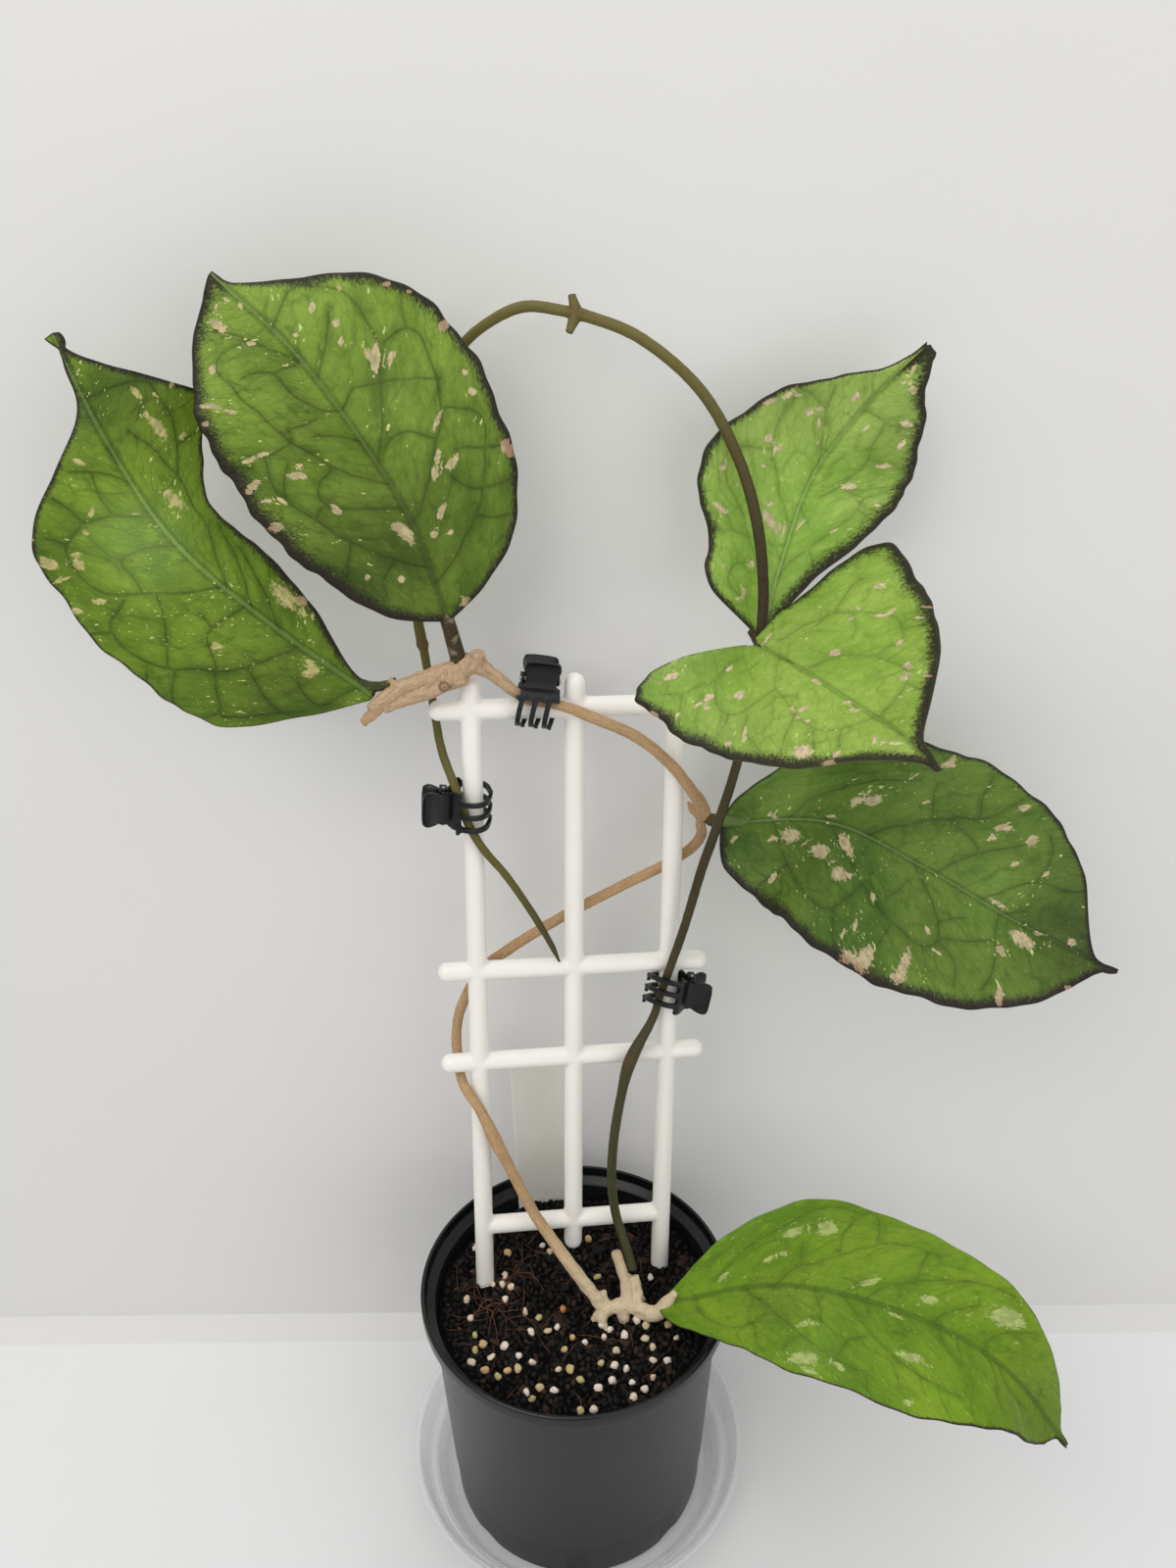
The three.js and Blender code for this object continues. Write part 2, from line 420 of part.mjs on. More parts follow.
function blade(leaf) {
  const rows = 16;
  const cols = [-1, -0.8, -0.5, -0.16, 0, 0.16, 0.5, 0.8, 1];
  const even = (list) => list.map((_, i) => i / (list.length - 1));
  const random = seeded(leaf.seed);
  const waves = [0, 1].map(() => ({ phase: random() * 6.3, turns: 2.2 + random() }));
  const spine = (u) => V3([0, 1, 2].map((i) => along(even(leaf.midrib), leaf.midrib.map((p) => p[i]), u)));
  const face = V3(leaf.face);
  const surface = (u, v) => {
    const tangent = spine(Math.min(u + 0.001, 1)).sub(spine(Math.max(u - 0.001, 0))).normalize();
    const across = tangent.clone().cross(face).normalize();
    const up = across.clone().cross(tangent);
    const width = along(STATIONS, v < 0 ? leaf.left : leaf.right, u);
    const lifts = v < 0 ? leaf.liftLeft : leaf.liftRight;
    const lift = rad(along(even(lifts), lifts, u));
    const w = width * Math.abs(v);
    const { phase, turns } = waves[v < 0 ? 0 : 1];
    const ripple = 0.035 * width * v * v * Math.sin(phase + turns * 2 * Math.PI * u);
    const sweep = leaf.sweep[0] * (1 - u) ** 3 + leaf.sweep[1] * u * u;
    return spine(u)
      .addScaledVector(across, Math.sign(v) * w * Math.cos(lift))
      .addScaledVector(up, w * Math.sin(lift) + ripple)
      .addScaledVector(tangent, sweep * w * Math.abs(v));
  };
  const top = [];
  const bottom = [];
  for (let i = 0; i <= rows; i += 1) {
    const u = i / rows;
    for (const v of cols) {
      const here = surface(u, v);
      const du = surface(Math.min(u + 0.01, 1), v).sub(surface(Math.max(u - 0.01, 0), v));
      const dv = surface(u, Math.min(v + 0.02, 1)).sub(surface(u, Math.max(v - 0.02, -1)));
      const normal = dv.cross(du).normalize();
      const half = (Math.abs(v) === 1 ? BLADE_EDGE : BLADE_BODY) / 2;
      const rib = v === 0 ? MIDRIB_DEPTH * (1 - 0.8 * u) : 0;
      top.push(here.clone().addScaledVector(normal, half));
      bottom.push(here.clone().addScaledVector(normal, -half - rib));
    }
  }
  const n = cols.length;
  const total = top.length;
  const position = [...top, ...bottom].flatMap((p) => [p.x, p.y, p.z]);
  const index = [];
  for (let i = 0; i < rows; i += 1) {
    for (let j = 0; j + 1 < n; j += 1) {
      const a = i * n + j;
      index.push(a, a + 1, a + n, a + 1, a + n + 1, a + n);
      const b = a + total;
      index.push(b, b + n, b + 1, b + 1, b + n, b + n + 1);
    }
  }
  const rim = [];
  for (let j = 0; j < n; j += 1) rim.push(j);
  for (let i = 1; i <= rows; i += 1) rim.push(i * n + n - 1);
  for (let j = n - 2; j >= 0; j -= 1) rim.push(rows * n + j);
  for (let i = rows - 1; i > 0; i -= 1) rim.push(i * n);
  rim.forEach((a, k) => {
    const b = rim[(k + 1) % rim.length];
    index.push(a, a + total, b, b, a + total, b + total);
  });
  const geometry = new THREE.BufferGeometry();
  geometry.setAttribute('position', new THREE.Float32BufferAttribute(position, 3));
  geometry.setIndex(index);
  return solid(geometry);
}
LEAVES.forEach((leaf) => {
  const whole = blade(leaf).add(stem(leaf.petiole, { sides: 8, perSpan: 2 }));
  const clear = whole.subtract(woodyRoom).subtract(greenRoom);
  const pieces = clear.decompose().sort((a, b) => b.volume() - a.volume());
  part(leaf.name, pieces[0], leaf.colour, 0.35);
});

// ---- claw clips: two sprung jaws on a pin, local +Z at the thumb tabs ----
function strap(path, thickness) {
  return skin(path.map(([y, z, x0, x1], i) => {
    const before = path[Math.max(i - 1, 0)];
    const after = path[Math.min(i + 1, path.length - 1)];
    const dir = new THREE.Vector2(after[0] - before[0], after[1] - before[1]).normalize();
    const off = new THREE.Vector2(-dir.y, dir.x).multiplyScalar(thickness / 2);
    return [
      V3([x0, y + off.x, z + off.y]), V3([x1, y + off.x, z + off.y]),
      V3([x1, y - off.x, z - off.y]), V3([x0, y - off.x, z - off.y]),
    ];
  }));
}
const plateOutline = [
  [-4.8, 6, 3.6], [-4.6, 5.5, 4.8], [-3.8, 4, 5.3], [-2.9, 2.4, 4.8], [-2.4, 1, 4.3],
  [-2.3, -0.6, 4.3], [-2.9, -1.9, 5], [-4.4, -3.2, CLIP_HALF_WIDTH], [-5.6, -4.8, CLIP_HALF_WIDTH],
];
function jaw(earInner) {
  const plate = strap(plateOutline.map(([y, z, half]) => [y, z, -half, half]), CLIP_PLATE);
  const ring = CLIP_BORE + CLIP_PLATE / 2;
  const prongs = [-4.8, -1, 2.8].map((x) => strap(
    [148, 164, 184, 208, 232, 256, 276].map((a) => [
      Math.cos(rad(a)) * ring, Math.sin(rad(a)) * ring - CLIP_REACH, x - 0.6, x + 0.6,
    ]),
    CLIP_PLATE,
  ));
  const ears = [-1, 1].map((side) => {
    const a = V3([side * earInner, 0, 0]);
    const b = V3([side * (earInner + 0.8), 0, 0]);
    const x0 = Math.min(a.x, b.x);
    const x1 = Math.max(a.x, b.x);
    const web = strap([[-2.6, 0, x0, x1], [0, 0, x0, x1]], 2.2);
    return drum(1.3, a, b, 14).add(web);
  });
  const bored = drum(PIN_R + GAP, V3([-7, 0, 0]), V3([7, 0, 0]), 12);
  return join([plate, ...prongs, ...ears]).subtract(bored);
}
const frontJaw = jaw(3.3);
const backShoulders = [-1, 1].map((side) => {
  const x0 = side < 0 ? -CLIP_HALF_WIDTH : 4;
  const x1 = side < 0 ? -4 : CLIP_HALF_WIDTH;
  return strap([[-2.4, 1.2, x0, x1], [-2.3, -0.6, x0, x1]], CLIP_PLATE);
});
const turned = new THREE.Matrix4().makeRotationZ(Math.PI);
const backJaw = join([jaw(4.6), ...backShoulders]).transform(turned.elements);
const springProfile = [];
for (let i = 0; i <= 12; i += 1) springProfile.push([i % 2 ? 1.25 : 1.02, -2.88 + i * 0.48]);
const spring = solid(
  new THREE.LatheGeometry([
    ...springProfile, [PIN_R + GAP, 2.88], [PIN_R + GAP, -2.88], springProfile[0],
  ].map(([r, x]) => new THREE.Vector2(r, x)), 9),
  new THREE.Matrix4().makeRotationZ(-Math.PI / 2),
);
const pin = drum(PIN_R, V3([-6, 0, 0]), V3([6, 0, 0]), 12);

// hinge: place on the trellis; claw: direction the prongs point; tilt: degrees about the viewing line.
const CLIPS = [
  { name: 'clip_top', hinge: [-9.9, -1, CROSSBAR_LEVELS[2] + 8.4], turn: 0, tilt: 8 },
  { name: 'clip_left', hinge: [-UPRIGHT_SPACING - 8.6, -1.2, 147], turn: 90, tilt: 3 },
  { name: 'clip_right', hinge: [UPRIGHT_SPACING + 6.3, -1.1, 82.4], turn: -90, tilt: 10 },
];
CLIPS.forEach((clip) => {
  const place = toTrellis.clone()
    .multiply(new THREE.Matrix4().makeTranslation(...clip.hinge))
    .multiply(new THREE.Matrix4().makeRotationY(-rad(clip.turn - clip.tilt)));
  const set = (body) => body.transform(place.elements);
  part(`${clip.name}_front_jaw`, set(frontJaw), COLOURS.clip, 0.4);
  part(`${clip.name}_back_jaw`, set(backJaw), COLOURS.clip, 0.4);
  part(`${clip.name}_spring`, set(spring), COLOURS.steel, 0.35, 1);
  part(`${clip.name}_pin`, set(pin), COLOURS.steel, 0.3, 1);
});

// ---- potting mix: rough top, pumice and bark lumps, holes for what stands in it ----
const mixRandom = seeded(77);
const hump = (x, y) => 0.9 * Math.sin(x * 0.19 + 1) * Math.cos(y * 0.23) + 0.5 * Math.sin(x * 0.47 - y * 0.39);
const mixRings = [];
const MIX_SIDES = 28;
const mixRing = (r, z) => Array.from({ length: MIX_SIDES }, (_, j) => {
  const a = (j / MIX_SIDES) * 2 * Math.PI;
  return V3([Math.cos(a) * r, Math.sin(a) * r, z(Math.cos(a) * r, Math.sin(a) * r)]);
});
const mixEdge = innerRadius(SOIL_TOP) - GAP - 0.2;
mixRings.push(mixRing(innerRadius(POT_FLOOR) - GAP - 0.4, () => POT_FLOOR + GAP));
[1, 0.9, 0.78, 0.64, 0.5, 0.36, 0.22, 0.09].forEach((f) => {
  mixRings.push(mixRing(mixEdge * f, (x, y) => SOIL_TOP + hump(x, y) * (f === 1 ? 0.4 : 1)));
});
let mix = skin(mixRings);
for (let i = 0; i < 34; i += 1) {
  const a = mixRandom() * 2 * Math.PI;
  const r = Math.sqrt(mixRandom()) * (mixEdge - 3.5);
  const x = Math.cos(a) * r;
  const y = Math.sin(a) * r;
  const bark = i % 4 === 0;
  const size = bark ? [3.6, 2.2, 0.9] : [1.7, 1.5, 1.4].map((s) => s * (0.8 + 0.5 * mixRandom()));
  const turn = new THREE.Quaternion().setFromEuler(
    new THREE.Euler(mixRandom() * 0.5, mixRandom() * 0.5, mixRandom() * 6.3),
  );
  const place = new THREE.Matrix4().compose(V3([x, y, SOIL_TOP + hump(x, y) + 0.4]), turn, V3(size));
  const lump = bark ? new THREE.BoxGeometry(2, 2, 2) : new THREE.IcosahedronGeometry(1, 0);
  mix = mix.add(solid(lump, place));
}
const legHole = (u) => drum(BAR_R + GAP, onTrellis(u, 0, -TRELLIS_LEG - 1.2), onTrellis(u, 0, 10), 14);
mix = mix.subtract(legHole(-UPRIGHT_SPACING)).subtract(legHole(UPRIGHT_SPACING));
mix = mix.subtract(labelSheet(GAP)).subtract(woodyRoom);
mix = mix.decompose().sort((a, b) => b.volume() - a.volume())[0];
part('potting_mix', mix, COLOURS.mix, 0.95);

export default group;
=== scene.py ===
import math
import random

import bpy
import numpy as np
from mathutils import Matrix, Vector, noise
from mathutils.kdtree import KDTree


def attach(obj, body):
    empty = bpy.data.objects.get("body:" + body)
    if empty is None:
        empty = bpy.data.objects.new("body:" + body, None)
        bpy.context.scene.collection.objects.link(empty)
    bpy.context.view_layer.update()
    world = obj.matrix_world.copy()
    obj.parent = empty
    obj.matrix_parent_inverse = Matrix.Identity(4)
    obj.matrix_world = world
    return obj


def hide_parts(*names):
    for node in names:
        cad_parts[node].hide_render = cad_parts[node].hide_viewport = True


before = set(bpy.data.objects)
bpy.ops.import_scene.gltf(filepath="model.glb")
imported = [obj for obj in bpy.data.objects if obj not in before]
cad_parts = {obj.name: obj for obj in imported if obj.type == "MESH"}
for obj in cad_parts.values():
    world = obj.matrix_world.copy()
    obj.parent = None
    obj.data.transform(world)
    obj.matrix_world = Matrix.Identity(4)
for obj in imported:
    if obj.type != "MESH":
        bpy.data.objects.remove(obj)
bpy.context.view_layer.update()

# A waxy-leaved climber on a white trellis in a dark nursery pot, on a clear saucer.
# Sizes below are in millimetres, in the frame's own axes, and every mesh is scaled to metres.
mm = 0.001
plant = "plant_in_pot"      # the body that carries everything but the clips' front jaws
noise.seed_set(7)           # without it, noise vectors differ from run to run


# shader and geometry wiring

class Wire:
    # one socket, used in sums as if it were a number

    def __init__(self, wiring, socket):
        self.wiring = wiring
        self.socket = socket

    def sum(self, operation, *values):
        return self.wiring.node("ShaderNodeMath", {"operation": operation}, dict(enumerate(values)))

    def __add__(self, other):
        return self.sum("ADD", self, other)

    def __sub__(self, other):
        return self.sum("SUBTRACT", self, other)

    def __rsub__(self, other):
        return self.sum("SUBTRACT", other, self)

    def __mul__(self, other):
        return self.sum("MULTIPLY", self, other)

    def __truediv__(self, other):
        return self.sum("DIVIDE", self, other)

    def __rtruediv__(self, other):
        return self.sum("DIVIDE", other, self)

    __radd__ = __add__
    __rmul__ = __mul__

    def least(self, other):
        return self.sum("MINIMUM", self, other)

    def most(self, other):
        return self.sum("MAXIMUM", self, other)

    def between(self, start, end):      # 0 at start, 1 at end, eased
        return self.wiring.node(
            "ShaderNodeMapRange", {"interpolation_type": "SMOOTHSTEP"},
            {"Value": self, "From Min": start, "From Max": end})

    def vector(self, operation, other):
        return self.wiring.node("ShaderNodeVectorMath", {"operation": operation}, {0: self, 1: other})

    def length(self):
        return self.wiring.node("ShaderNodeVectorMath", {"operation": "LENGTH"}, {0: self}, "Value")

    def grown(self, factor):
        return self.wiring.node("ShaderNodeVectorMath", {"operation": "SCALE"}, {0: self, "Scale": factor})

    def axis(self, name):
        return self.wiring.node("ShaderNodeSeparateXYZ", {}, {0: self}, name)


class Wiring:
    # adds nodes to one tree

    def __init__(self, tree):
        self.tree = tree

    def node(self, kind, settings=None, sockets=None, out=0):
        made = self.tree.nodes.new(kind)
        for name, value in (settings or {}).items():
            if name == "stops":
                for i, (place, colour) in enumerate(value):
                    stop = made.color_ramp.elements[i] if i < 2 else made.color_ramp.elements.new(place)
                    stop.position = place
                    stop.color = colour
            else:
                setattr(made, name, value)
        for key, value in (sockets or {}).items():
            if isinstance(value, Wire):
                self.tree.links.new(value.socket, made.inputs[key])
            else:
                made.inputs[key].default_value = value
        return Wire(self, made.outputs[out]) if len(made.outputs) else made

    def noise(self, where, size, detail=2.0, roughness=0.5, out=0):
        return self.node("ShaderNodeTexNoise", {}, {
            "Vector": where, "Scale": 1 / size, "Detail": detail, "Roughness": roughness}, out)


class Finish(Wiring):
    # one material

    def __init__(self, name):
        self.material = bpy.data.materials.new(name)
        self.material.use_nodes = True
        super().__init__(self.material.node_tree)
        self.tree.nodes.clear()

    def place(self):                    # millimetres in the frame
        return self.node("ShaderNodeTexCoord", out="Object").grown(1000)

    def measured(self, name, out="Fac"):
        return self.node("ShaderNodeAttribute", {"attribute_name": name}, out=out)

    def cells(self, where, size, out="Distance", feature="F1"):
        return self.node(
            "ShaderNodeTexVoronoi", {"feature": feature}, {"Vector": where, "Scale": 1 / size}, out)

    def chance(self, where, size, channel="Red"):
        return self.node("ShaderNodeSeparateColor", {}, {0: self.cells(where, size, "Color")}, channel)

    def blend(self, mask, below, above):
        return self.node("ShaderNodeMix", {"data_type": "RGBA"}, {0: mask, 6: below, 7: above}, 2)

    def wander(self, where, size, reach, detail=2.0):
        stray = self.noise(where, size, detail, 0.6, "Color").vector("SUBTRACT", (0.5, 0.5, 0.5))
        return where.vector("ADD", stray.grown(2 * reach))

    def bump(self, height, depth):
        return self.node("ShaderNodeBump", {}, {"Distance": depth * mm, "Height": height})

    def done(self, sockets):
        shader = self.node("ShaderNodeBsdfPrincipled", {}, sockets)
        self.node("ShaderNodeOutputMaterial", {}, {"Surface": shader})
        return self.material


class Recipe(Wiring):
    # one Geometry Nodes tree with named sizes, run once to give a plain mesh

    kinds = {float: "NodeSocketFloat", int: "NodeSocketInt", tuple: "NodeSocketVector"}

    def __init__(self, name, sizes):
        super().__init__(bpy.data.node_groups.new(name, "GeometryNodeTree"))
        face = self.tree.interface
        face.new_socket(name="Geometry", in_out="INPUT", socket_type="NodeSocketGeometry")
        self.keys = {}
        for size, value in sizes.items():
            made = face.new_socket(name=size, in_out="INPUT", socket_type=self.kinds[type(value)])
            made.default_value = value
            self.keys[size] = made.identifier
        finish = face.new_socket(name="Finish", in_out="INPUT", socket_type="NodeSocketMaterial")
        self.keys["Finish"] = finish.identifier
        face.new_socket(name="Geometry", in_out="OUTPUT", socket_type="NodeSocketGeometry")

    def given(self, name):
        return self.node("NodeGroupInput", out=name)

    def any(self, low, high, seed):
        return self.node(
            "FunctionNodeRandomValue", {"data_type": "FLOAT"}, {2: low, 3: high, "Seed": seed}, 1)

    def anyVector(self, low, high, seed):
        return self.node(
            "FunctionNodeRandomValue", {"data_type": "FLOAT_VECTOR"}, {0: low, 1: high, "Seed": seed}, 0)

    def done(self, geometry):
        plain = self.node("GeometryNodeRealizeInstances", {}, {0: geometry})
        smooth = self.node("GeometryNodeSetShadeSmooth", {}, {0: plain})
        dressed = self.node("GeometryNodeSetMaterial", {}, {0: smooth, "Material": self.given("Finish")})
        self.node("NodeGroupOutput", {}, {"Geometry": dressed})

    def add(self, thing, finish, sizes):
        modifier = thing.modifiers.new(self.tree.name, "NODES")
        modifier.node_group = self.tree
        for name, value in {**sizes, "Finish": finish}.items():
            modifier[self.keys[name]] = value


def shade(red, green, blue):            # a tone as seen on screen, 0 to 255
    def linear(x):
        x /= 255
        return x / 12.92 if x <= 0.04045 else ((x + 0.055) / 1.055) ** 2.4
    return (linear(red), linear(green), linear(blue), 1.0)


# meshes

def show(thing):
    bpy.context.scene.collection.objects.link(thing)
    return thing


def mesh(name, points, faces, finish=None, smooth=True):
    made = bpy.data.meshes.new(name)
    made.from_pydata([tuple(p) for p in points], [], faces)
    made.validate()
    if smooth:
        made.shade_smooth()
    thing = show(bpy.data.objects.new(name, made))
    if finish:
        made.materials.append(finish)
    return thing


def baked(thing):                       # its mesh with all modifiers applied; the object itself goes
    depsgraph = bpy.context.evaluated_depsgraph_get()
    made = bpy.data.meshes.new_from_object(thing.evaluated_get(depsgraph))
    bpy.data.objects.remove(thing)
    return made


def settled(thing, name, finish):       # modifiers turned into one plain mesh of one finish
    made = baked(thing)
    made.name = name
    made.materials.clear()
    made.materials.append(finish)
    made.polygons.foreach_set("material_index", [0] * len(made.polygons))
    return show(bpy.data.objects.new(name, made))


def stamp(thing, name, values):         # numbers, or rows of three, kept on a mesh's points
    values = np.asarray(values, np.float32)
    kind, field = ("FLOAT", "value") if values.ndim == 1 else ("FLOAT_VECTOR", "vector")
    thing.data.attributes.new(name, kind, "POINT").data.foreach_set(field, values.ravel())


def carry(thing, body, slot, *nodes):
    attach(thing, body)
    if nodes:
        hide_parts(*nodes)


def ring(radius, sides):                # x and y of points spaced evenly round a circle
    turns = [2 * math.pi * k / sides for k in range(sides)]
    return [(math.cos(a) * radius, math.sin(a) * radius) for a in turns]


def stitched(rows, sides):              # faces between rows of points; a row of one point is a pole
    faces = []
    for low, high in zip(rows, rows[1:]):
        for k in range(sides):
            n = (k + 1) % sides
            if len(low) == 1:
                faces.append((low[0], high[n], high[k]))
            elif len(high) == 1:
                faces.append((low[k], low[n], high[0]))
            else:
                faces.append((low[k], low[n], high[n], high[k]))
    return faces


def lathe(name, profile, sides, finish):        # (radius, height) points from axis to axis, outside first
    points, rows = [], []
    for radius, height in profile:
        spots = ring(radius, sides) if radius else [(0, 0)]
        rows.append(list(range(len(points), len(points) + len(spots))))
        points += [(x * mm, y * mm, height * mm) for x, y in spots]
    return mesh(name, points, stitched(rows, sides), finish)


def rounded(profile, reach):            # takes the corners of a profile off in small steps
    made = [profile[0]]
    for before, corner, after in zip(profile, profile[1:], profile[2:]):
        c = Vector(corner)
        a = Vector(before) - c
        b = Vector(after) - c
        cut = min(reach, 0.45 * a.length, 0.45 * b.length)
        start = c + a.normalized() * cut
        end = c + b.normalized() * cut
        for t in (0, 0.25, 0.5, 0.75, 1):
            made.append(tuple(start * (1 - t) ** 2 + c * 2 * t * (1 - t) + end * t * t))
    return made + [profile[-1]]


def along(stations, values, u):         # smooth curve through values, as the solids use
    s = np.asarray(stations, float)
    f = np.asarray(values, float)
    last = len(s) - 1
    low = np.maximum(np.arange(last + 1) - 1, 0)
    high = np.minimum(np.arange(last + 1) + 1, last)
    span = (s[high] - s[low]).reshape((-1,) + (1,) * (f.ndim - 1))
    slope = (f[high] - f[low]) / span
    k = np.clip(np.searchsorted(s, u, side="right") - 1, 0, last - 1)
    h = s[k + 1] - s[k]
    t = (u - s[k]) / h
    if f.ndim > 1:
        h = h[..., None]
        t = t[..., None]
    t2 = t * t
    t3 = t2 * t
    return ((2 * t3 - 3 * t2 + 1) * f[k] + (t3 - 2 * t2 + t) * h * slope[k]
            + (3 * t2 - 2 * t3) * f[k + 1] + (t3 - t2) * h * slope[k + 1])


def route(points, step=0.5):            # centripetal curve through [x, y, z, radius] points
    p = [Vector(q[:3]) for q in points]
    p = [2 * p[0] - p[1]] + p + [2 * p[-1] - p[-2]]
    made = []
    for i in range(1, len(p) - 2):
        before, a, b, after = p[i - 1:i + 3]
        d0, d1, d2 = (max((q - o).length_squared ** 0.25, 1e-4) for o, q in ((before, a), (a, b), (b, after)))
        leave = ((a - before) / d0 - (b - before) / (d0 + d1) + (b - a) / d1) * d1
        arrive = ((b - a) / d1 - (after - a) / (d1 + d2) + (after - b) / d2) * d1
        count = max(2, round((b - a).length / step))
        r0, r1 = points[i - 1][3], points[i][3]
        for k in range(count + (i == len(p) - 3)):
            t = k / count
            spot = (a * (2 * t ** 3 - 3 * t * t + 1) + leave * (t ** 3 - 2 * t * t + t)
                    + b * (3 * t * t - 2 * t ** 3) + arrive * (t ** 3 - t * t))
            ease = t * t * (3 - 2 * t)
            made.append((*spot, r0 * (1 - ease) + r1 * ease))
    return made


def domed(path, ends=(1, 1)):           # rounds the ends of a route; 1 is a half ball, less is flatter
    made = list(path)
    for height in ends:                 # the route is turned round after each end
        tip, radius = Vector(made[0][:3]), made[0][3]
        out = (tip - Vector(made[1][:3])).normalized()
        cap = []
        for a in (18, 36, 54, 70, 82, 89):
            spot = tip + out * math.sin(math.radians(a)) * radius * height
            cap.append((*spot, math.cos(math.radians(a)) * radius))
        made = made[::-1] + cap
    return made


# Geometry Nodes: a round stem along a path. Radius comes from the path's points; "run" and "side"
# are kept on the mesh so that fibres can follow the stem.
tube = Recipe("round stems along paths", {"Sides": 16, "Lumps": 0.0, "Lump size": 3.0})
run = tube.node("GeometryNodeSplineParameter", out="Length") * 1000
paths = tube.node("GeometryNodeStoreNamedAttribute", {"data_type": "FLOAT", "domain": "POINT"}, {
    0: tube.given("Geometry"), "Name": "run", "Value": run})
circle = tube.node("GeometryNodeCurvePrimitiveCircle", {"mode": "RADIUS"}, {
    "Resolution": tube.given("Sides"), "Radius": 1.0})
circle = tube.node("GeometryNodeStoreNamedAttribute", {"data_type": "FLOAT_VECTOR", "domain": "POINT"}, {
    0: circle, "Name": "side", "Value": tube.node("GeometryNodeInputPosition")})
tubes = tube.node("GeometryNodeCurveToMesh", {}, {
    "Curve": paths, "Profile Curve": circle, "Scale": tube.node("GeometryNodeInputRadius"),
    "Fill Caps": True})
where = tube.node("GeometryNodeInputPosition").grown(1000)
lump = tube.node("ShaderNodeTexNoise", {}, {
    "Vector": where, "Scale": 1 / tube.given("Lump size"), "Detail": 2.0})
push = tube.node("GeometryNodeInputNormal").grown((lump - 0.5) * tube.given("Lumps") * mm)
tube.done(tube.node("GeometryNodeSetPosition", {}, {0: tubes, "Offset": push}))


def stems(name, paths, finish, sides=16, lumps=0.0, lumpSize=3.0):
    data = bpy.data.curves.new(name, "CURVE")
    data.dimensions = "3D"
    for path in paths:
        spline = data.splines.new("POLY")
        spline.points.add(len(path) - 1)
        for point, (x, y, z, radius) in zip(spline.points, path):
            point.co = (x * mm, y * mm, z * mm, 1)
            point.radius = radius * mm
    thing = show(bpy.data.objects.new(name, data))
    tube.add(thing, finish, {"Sides": sides, "Lumps": lumps, "Lump size": lumpSize})
    return thing


def fused(thing, name, finish, voxel, softening):       # overlapping stems grown together
    whole = show(bpy.data.objects.new(name, baked(thing)))
    remesh = whole.modifiers.new("grow together", "REMESH")
    remesh.mode = "VOXEL"
    remesh.voxel_size = voxel * mm
    remesh.use_smooth_shade = True
    smooth = whole.modifiers.new("soften", "SMOOTH")
    smooth.iterations = softening
    return settled(whole, name, finish)


def follow(thing, paths):               # gives a fused stem the "run" and "side" of the nearest path
    spots, runs = [], []
    for path in paths:
        length = 0
        for i, spot in enumerate(path):
            if i:
                length += (Vector(spot[:3]) - Vector(path[i - 1][:3])).length
            spots.append(Vector(spot[:3]))
            runs.append(length)
    tree = KDTree(len(spots))
    for i, spot in enumerate(spots):
        tree.insert(spot, i)
    tree.balance()
    run = np.empty(len(thing.data.vertices), np.float32)
    side = np.empty((len(thing.data.vertices), 3), np.float32)
    for k, vertex in enumerate(thing.data.vertices):
        here = vertex.co / mm
        centre, i, reach = tree.find(here)
        run[k] = runs[i]
        side[k] = (here - centre) / max(reach, 0.2)
    stamp(thing, "run", run)
    stamp(thing, "side", side)


print("helpers ready")


# camera, at the photograph's own angle
view = {"place": (6.0, -279.5, 416.2), "down": 27.46, "roll": 0.64, "lens": 28.125, "film": 36, "near": 10}
down, roll = math.radians(view["down"]), math.radians(view["roll"])
ahead = Vector((0, math.cos(down), -math.sin(down)))
below = Vector((0, -math.sin(down), -math.cos(down)))
right = Vector((1, 0, 0))
rightRolled = right * math.cos(roll) + below * math.sin(roll)
downRolled = below * math.cos(roll) - right * math.sin(roll)
lens = bpy.data.cameras.new("camera")
lens.lens = view["lens"]
lens.sensor_width = view["film"]
lens.clip_start = view["near"] * mm
camera = show(bpy.data.objects.new("camera", lens))
camera.matrix_world = Matrix((
    (rightRolled.x, -downRolled.x, -ahead.x, view["place"][0] * mm),
    (rightRolled.y, -downRolled.y, -ahead.y, view["place"][1] * mm),
    (rightRolled.z, -downRolled.z, -ahead.z, view["place"][2] * mm),
    (0, 0, 0, 1)))
bpy.context.scene.camera = camera
bpy.context.scene.view_settings.view_transform = "Standard"

# plain pale table with a white board standing behind it, and soft studio light
studio = {
    "board": 61, "boardWide": 900, "boardHigh": 900, "table": 2600, "foot": 47.5,
    "tableTone": shade(222, 222, 222), "boardTone": shade(212, 211, 209), "footTone": shade(214, 213, 211),
    # the board's faint even emission is painted light that lifts the shade on the board
    "sky": shade(236, 238, 242), "skyStrength": 0.5, "paintedLightLevel": 0.06,
    "lights": [
        ("window", (-520, -620, 980), (0, 0, 180), 900, 6.6, shade(255, 252, 246)),
        ("ceiling", (260, -160, 1150), (0, 20, 150), 800, 2.2, shade(250, 251, 255)),
        ("room", (620, -820, 420), (20, 0, 160), 900, 2.9, shade(255, 253, 250)),
        ("behind", (120, 760, 900), (0, 0, 200), 700, 2.6, shade(252, 252, 255)),
    ],
}


